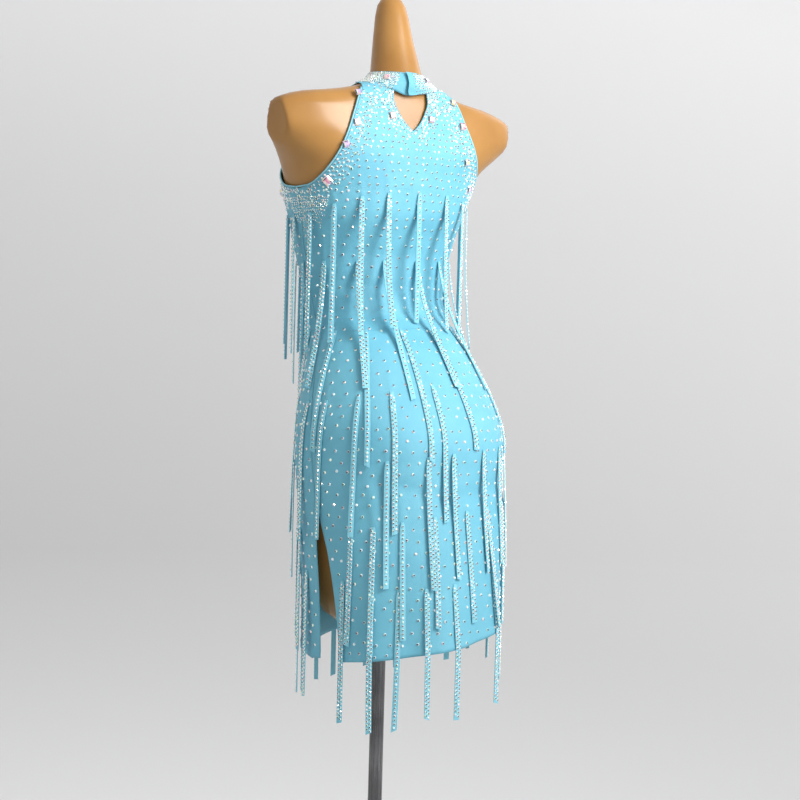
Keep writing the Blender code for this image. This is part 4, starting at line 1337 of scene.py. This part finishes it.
def add_stone_piece(name, store):
    """One piece from all the stones in a store, each in its own tint."""
    piece = add_piece(name, store["points"], store["faces"], crystals[0], smooth=False)
    for crystal in crystals[1:]:
        piece.data.materials.append(crystal)
    piece.data.polygons.foreach_set("material_index", store["tints"])
    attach(piece, "root")
    return piece


def stud_strip(store, path, length, single, chance):
    """Stones down one strip, in two zigzag lines or in one."""
    count = int((length - STRIP_STONE_START) / STRIP_STONE_PITCH * 2)
    for index in range(count):
        drop = (STRIP_STONE_START + index * STRIP_STONE_PITCH / 2) / length
        if single and index % 2:
            continue
        if drop > STRIP_STONE_END:
            break
        level = min(STRIP_LEVELS - 1, int(drop * STRIP_LEVELS))
        centre, across, normal = path[level]
        centre = centre.lerp(path[level + 1][0], drop * STRIP_LEVELS - level)
        side = 0.0 if single else (1 if index % 2 else -1)
        half = strip_half_width(length * drop) / (STRIP_WIDTH / 2)
        place = centre + across * side * STRIP_STONE_OFFSET * half
        place += normal * (STRIP_THICKNESS + STRIP_DOME * DOME_SHARE)
        size = chance.uniform(1 - STRIP_STONE_SPREAD, 1 + STRIP_STONE_SPREAD)
        set_stone(store, place, normal, STRIP_STONE_RADIUS * size, chance)


fire_group = make_fire_group()
crystals = [make_crystal(*row[:3], FIRE_SCALE, 0.35) for row in CRYSTALS]
stone_chance = random.Random(STONE_SEED)
for row in FRINGE_ROWS:
    store = new_stone_store()
    for path, length in strip_paths[row[0]]:
        stud_strip(store, path, length, stone_chance.random() < SINGLE_LINES, stone_chance)
    add_stone_piece(row[0] + "_stones", store)


# Stones on the body: scattered in staggered rows, close on the shoulders and wide below.
# Dense lines follow the armholes and the keyhole, and the neck band is covered.
# Columns: height, distance between stones, radius.
SCATTER = [
    (1.425, 0.0066, 0.00200), (1.385, 0.0086, 0.00215), (1.330, 0.0115, 0.00230),
    (1.270, 0.0140, 0.00240), (1.150, 0.0180, 0.00255), (0.560, 0.0195, 0.00275),
]
SCATTER_JITTER = 0.16
# The rows start just under the neck seam. Next to one another they are closer than in a row.
SCATTER_TOP = 0.0012
ROW_CLOSENESS = 0.87
STONE_EDGE_CLEARANCE = 0.004
NECK_MARGIN = 0.001
# The clearance as an angle is worked out at this depth of the body or more.
LEAST_DEPTH = 0.05
EDGE_LINES = 8
EDGE_LINE_PITCH = 0.0052
EDGE_STONE_RADIUS = 0.0021
EDGE_JITTER = 0.0009
EDGE_INSET = 0.0032
# Lines further in than the full ones lose this share of their stones, line by line.
FULL_LINES = 3
LINE_FADING = 0.2
# How far the lines look for the cloth on either side of where they expect it.
SNAP_REACH = 0.02
KEYHOLE_LINES = 4
KEYHOLE_STEPS = 20
KEYHOLE_INSET = 0.0030
KEYHOLE_TOP = 0.006
KEYHOLE_FULL_LINES = 2
KEYHOLE_LOSS = 0.3
BAND_STONE_RADIUS = 0.0018
BAND_STONE_ROWS = 9
BAND_STONES_ROUND = 82
BAND_STONE_LOW = 0.0014
BAND_STONE_HIGH = 0.002
BAND_NORMAL_STEP = 0.003
# Angles between which the band shows its bare cloth, beside the tongue.
BARE_START, BARE_END = 66, 92
# Top, bottom, first and last angle of the close stones under the left arm.
UNDERARM_PATCH = (1.2520, 1.2000, -14, 33)
UNDERARM_RADIUS = 0.0015
UNDERARM_PITCH = 2.1
UNDERARM_SPREAD = 0.15
UNDERARM_STEP = 0.0038
UNDERARM_JITTER = 0.0010
# The patch draws in from the front and from the back, and thins out, towards its bottom.
UNDERARM_FRONT_SLOPE = 0.3
UNDERARM_BACK_SLOPE = 0.25
UNDERARM_THINNING = 0.7


def jitter(chance, reach):
    """A random distance to either side."""
    return chance.uniform(-1, 1) * reach


def cloth_place(angle, height):
    """Point on the folded cloth and its outward direction."""
    return dress_point(angle, height, fold_rise(angle, height))[0], dress_normal(angle, height)


def scatter_body(store, chance):
    """Staggered rows of stones from the neck to the hem, all round."""
    height = NECK_TOP - SCATTER_TOP
    turn = 0
    while height > HEM_LOWEST:
        pitch, radius = blend_rows(SCATTER, height)
        section = dress_section(height)
        girth = math.pi * (section[0] + (section[2] + section[3]) / 2)
        count = max(8, int(girth / pitch))
        for angle in even_angles(height, 0.0, 360.0, count):
            angle += 360 / count * (turn % 2 / 2 + jitter(chance, SCATTER_JITTER))
            level = height + pitch * jitter(chance, SCATTER_JITTER)
            if not on_cloth(angle % 360, level) or in_underarm(angle, level):
                continue
            place, normal = cloth_place(angle, level)
            set_stone(store, place, normal, radius, chance)
        height -= pitch * ROW_CLOSENESS
        turn += 1


def in_underarm(angle, height):
    """Whether a place lies in the patch of close stones under either arm."""
    top, bottom, left, right = UNDERARM_PATCH
    turned = angle_gap(angle, 0)
    return bottom < height < top and (left < turned < right or left < 180 - angle % 360 < right)


def on_cloth(angle, height):
    """Whether a place lies on a panel, clear of its cut edges."""
    if height < hem_height(angle) + STONE_EDGE_CLEARANCE or height > NECK_TOP - NECK_MARGIN:
        return False
    depth = max(LEAST_DEPTH, dress_section(height)[2])
    margin = math.degrees(STONE_EDGE_CLEARANCE / depth)
    turned = angle_gap(angle, 270) - 90
    left, _, _, right = panel_edges(height, "front")
    if left - margin > turned > right + margin:
        return True
    left, centre_left, centre_right, right = panel_edges(height, "back")
    keyhole_foot = KEYHOLE_TIP - STONE_EDGE_CLEARANCE
    if centre_left - margin < angle < centre_right + margin and height > keyhole_foot:
        return False
    return left + margin < angle < right - margin


def line_armhole(store, mirror, chance):
    """Dense lines of stones beside one armhole, which fade out away from the edge."""
    route = armhole_route(mirror)
    places = [dress_point(angle, height)[0] for angle, height in route]
    gap = 0.0
    for index in range(1, len(route) - 1):
        gap += (places[index] - places[index - 1]).length
        if gap < EDGE_LINE_PITCH:
            continue
        gap = 0.0
        angle, height = route[index]
        normal = dress_normal(angle, height)
        along = (places[index + 1] - places[index - 1]).normalized()
        inward = along.cross(normal).normalized() * (1 if mirror else -1)
        for line in range(EDGE_LINES):
            if line > FULL_LINES and chance.random() < LINE_FADING * (line - FULL_LINES):
                continue
            reach = EDGE_INSET + line * EDGE_LINE_PITCH + jitter(chance, EDGE_JITTER)
            shift = line % 2 * EDGE_LINE_PITCH / 2 + jitter(chance, EDGE_JITTER)
            start = places[index] + inward * reach + along * shift + normal * SNAP_REACH
            place, facing = cloth_tree.ray_cast(start, -normal, SNAP_REACH * 2)[:2]
            if place is not None:
                set_stone(store, place, facing, EDGE_STONE_RADIUS, chance)


def fill_underarm(store, mirror, chance):
    """Patch of small close stones under one arm, which thins out downwards."""
    top, bottom, left, right = UNDERARM_PATCH
    height = top
    while height > bottom:
        depth = (top - height) / (top - bottom)
        angle = left + (right - left) * UNDERARM_FRONT_SLOPE * depth
        while angle < right - (right - left) * UNDERARM_BACK_SLOPE * depth:
            if chance.random() > depth ** 2 * UNDERARM_THINNING:
                turned = 180 - angle if mirror else angle
                place, normal = cloth_place(turned, height + jitter(chance, UNDERARM_JITTER))
                set_stone(store, place, normal, UNDERARM_RADIUS, chance)
            angle += UNDERARM_PITCH * (1 + jitter(chance, UNDERARM_SPREAD))
        height -= UNDERARM_STEP


def line_keyhole(store, chance):
    """Dense lines of stones round the keyhole's sides and tip."""
    sides = [(line, side, step) for line in range(KEYHOLE_LINES)
             for side in (-1, 1) for step in range(KEYHOLE_STEPS)]
    for line, side, step in sides:
        if line >= KEYHOLE_FULL_LINES and chance.random() < KEYHOLE_LOSS:
            continue
        reach = KEYHOLE_INSET + line * EDGE_LINE_PITCH + jitter(chance, EDGE_JITTER)
        climb = (step + line % 2 / 2 + jitter(chance, SCATTER_JITTER)) / KEYHOLE_STEPS
        height = KEYHOLE_TIP + (NECK_TOP - KEYHOLE_TOP - KEYHOLE_TIP) * max(0.0, climb)
        half = blend_rows(KEYHOLE, height)[0] + reach
        height -= reach * (1 - step / KEYHOLE_STEPS)
        angle = angle_at_width(height, half)
        place, normal = cloth_place(angle if side > 0 else 180 - angle, height)
        set_stone(store, place, normal, EDGE_STONE_RADIUS, chance)


def cover_band(store, chance):
    """Close rows of stones over the whole neck band."""
    for row in range(BAND_STONE_ROWS):
        share = row / (BAND_STONE_ROWS - 1)
        for column in range(BAND_STONES_ROUND):
            angle = 360 * (column + row % 2 / 2) / BAND_STONES_ROUND
            if BARE_START < angle < BARE_END:
                continue
            lift = band_lift(1 - share)
            if BARE_END <= angle < TAB_END:
                lift += TAB_GAP + TAB_THICKNESS
            low, high = band_bottom(angle) + BAND_STONE_LOW, BAND_TOP - BAND_STONE_HIGH
            height = low + (high - low) * share
            place = band_point(angle, height, lift)
            beside = band_point(angle + NORMAL_TURN, height, lift)
            above = band_point(angle, height + BAND_NORMAL_STEP, lift)
            normal = (beside - place).cross(above - place).normalized()
            set_stone(store, place, normal, BAND_STONE_RADIUS, chance)


cloth_tree = BVHTree.FromPolygons(*panel_shells())
store = new_stone_store()
scatter_body(store, stone_chance)
for mirror in (False, True):
    line_armhole(store, mirror, stone_chance)
    fill_underarm(store, mirror, stone_chance)
line_keyhole(store, stone_chance)
add_stone_piece("body_stones", store)
store = new_stone_store()
cover_band(store, stone_chance)
add_stone_piece("neck_band_stones", store)


# Large square stones: cut glass with chamfered corners and a rainbow coating, glued on
# round the neck, the armholes and the keyhole, among the small stones.
# Columns: name, angle in degrees, height, side, turn in degrees, carrier.
STONES = [
    ("stone_band_left", 45, 1.436, 0.0095, 0, "band"),
    ("stone_band_back", 128, 1.437, 0.0095, 0, "band"),
    ("stone_band_front_left", 300, 1.4410, 0.0085, 0, "band"),
    ("stone_band_front", 262, 1.4410, 0.0085, 0, "band"),
    ("stone_neck_left", 60, 1.408, 0.0100, 10, "panel"),
    ("stone_neck_right", 117, 1.409, 0.0100, -10, "panel"),
    ("stone_keyhole_left", 83, 1.378, 0.0115, 10, "panel"),
    ("stone_keyhole_right", 97, 1.378, 0.0115, -10, "panel"),
    ("stone_shoulder_left", 67.5, 1.3625, 0.0120, 5, "panel"),
    ("stone_shoulder_right", 112, 1.373, 0.0120, 0, "panel"),
    ("stone_armhole_left", 57.5, 1.330, 0.0110, 20, "panel"),
    ("stone_armhole_right", 120, 1.316, 0.0110, 10, "panel"),
    ("stone_underarm_left", 35, 1.276, 0.0140, 45, "panel"),
    ("stone_underarm_right", 137, 1.276, 0.0110, 10, "panel"),
    ("stone_bust_side_left", 322, 1.262, 0.0110, 20, "panel"),
    ("stone_bust_side_right", 218, 1.262, 0.0110, -20, "panel"),
]
FANCY_SCALE = 240.0
SQUARE_HEIGHT = 0.0036
SQUARE_SEAT = 0.0006
SQUARE_CORNERS = 8
# Facet rings. Columns: share of the height, share of the half side, corner cut.
SQUARE_RINGS = [(0.0, 0.97, 0.22), (0.22, 1.0, 0.22), (0.72, 0.80, 0.26), (1.0, 0.55, 0.34)]
# Order in which the facets take the stone's tint, its clear, its gold and its painted shade
# glass, whose dark facets stand in for dark reflections.
FACET_ORDER = (0, 3, 0, 2, 1, 0, 0, 3, 0, 1, 2)
# Columns: name, body colour, fire colour.
FANCY_TINTS = [
    ("fancy_rose", (0.95, 0.34, 0.55, 1.0), (1.0, 0.86, 0.78, 1.0)),
    ("fancy_violet", (0.50, 0.42, 0.90, 1.0), (1.0, 0.70, 0.84, 1.0)),
    ("fancy_gold", (1.0, 0.84, 0.40, 1.0), (0.74, 0.72, 0.98, 1.0)),
]


def make_square_stone(name, angle, height, side, turn, carrier, material):
    """One faceted square stone, lying on the cloth or on the band."""
    if carrier == "band":
        place, beside = (band_point(angle + turned, height, BAND_THICKNESS)
                         for turned in (0, NORMAL_TURN))
        above, below = (band_point(angle, height + step, BAND_THICKNESS)
                        for step in (NORMAL_STEP, -NORMAL_STEP))
        normal = (beside - place).cross(above - below).normalized()
    else:
        place, normal = cloth_place(angle, height)
    facing = normal.to_track_quat("Z", "Y") @ Quaternion((0, 0, 1), math.radians(turn))
    points = []
    for level, share, cut in SQUARE_RINGS:
        half = side / 2 * share
        inner = half * (1 - cut)
        for x, y in ((half, -inner), (half, inner), (inner, half), (-inner, half),
                     (-half, inner), (-half, -inner), (-inner, -half), (inner, -half)):
            points.append(place + facing @ Vector((x, y, level * SQUARE_HEIGHT + SQUARE_SEAT)))
    faces = []
    last = len(points) - SQUARE_CORNERS
    for lower in range(0, last, SQUARE_CORNERS):
        upper = lower + SQUARE_CORNERS
        for corner in range(SQUARE_CORNERS):
            after = (corner + 1) % SQUARE_CORNERS
            faces.append((lower + corner, lower + after, upper + after, upper + corner))
    faces.append(tuple(range(last, len(points))))
    faces.append(tuple(reversed(range(SQUARE_CORNERS))))
    piece = add_piece(name + "_cut", points, faces, material, smooth=False)
    # The last finish is the painted shade glass of the dark facets and the base.
    for other in (crystals[0], fancies[-1], crystals[-1]):
        piece.data.materials.append(other)
    order = [FACET_ORDER[face % len(FACET_ORDER)] for face in range(len(faces) - 2)] + [0, 3]
    piece.data.polygons.foreach_set("material_index", order)
    return piece


fancies = [make_crystal(*row, FANCY_SCALE, 0.6) for row in FANCY_TINTS]
for index, stone in enumerate(STONES):
    piece = make_square_stone(*stone, fancies[index % len(fancies)])
    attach(piece, "root")
    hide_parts(stone[0])
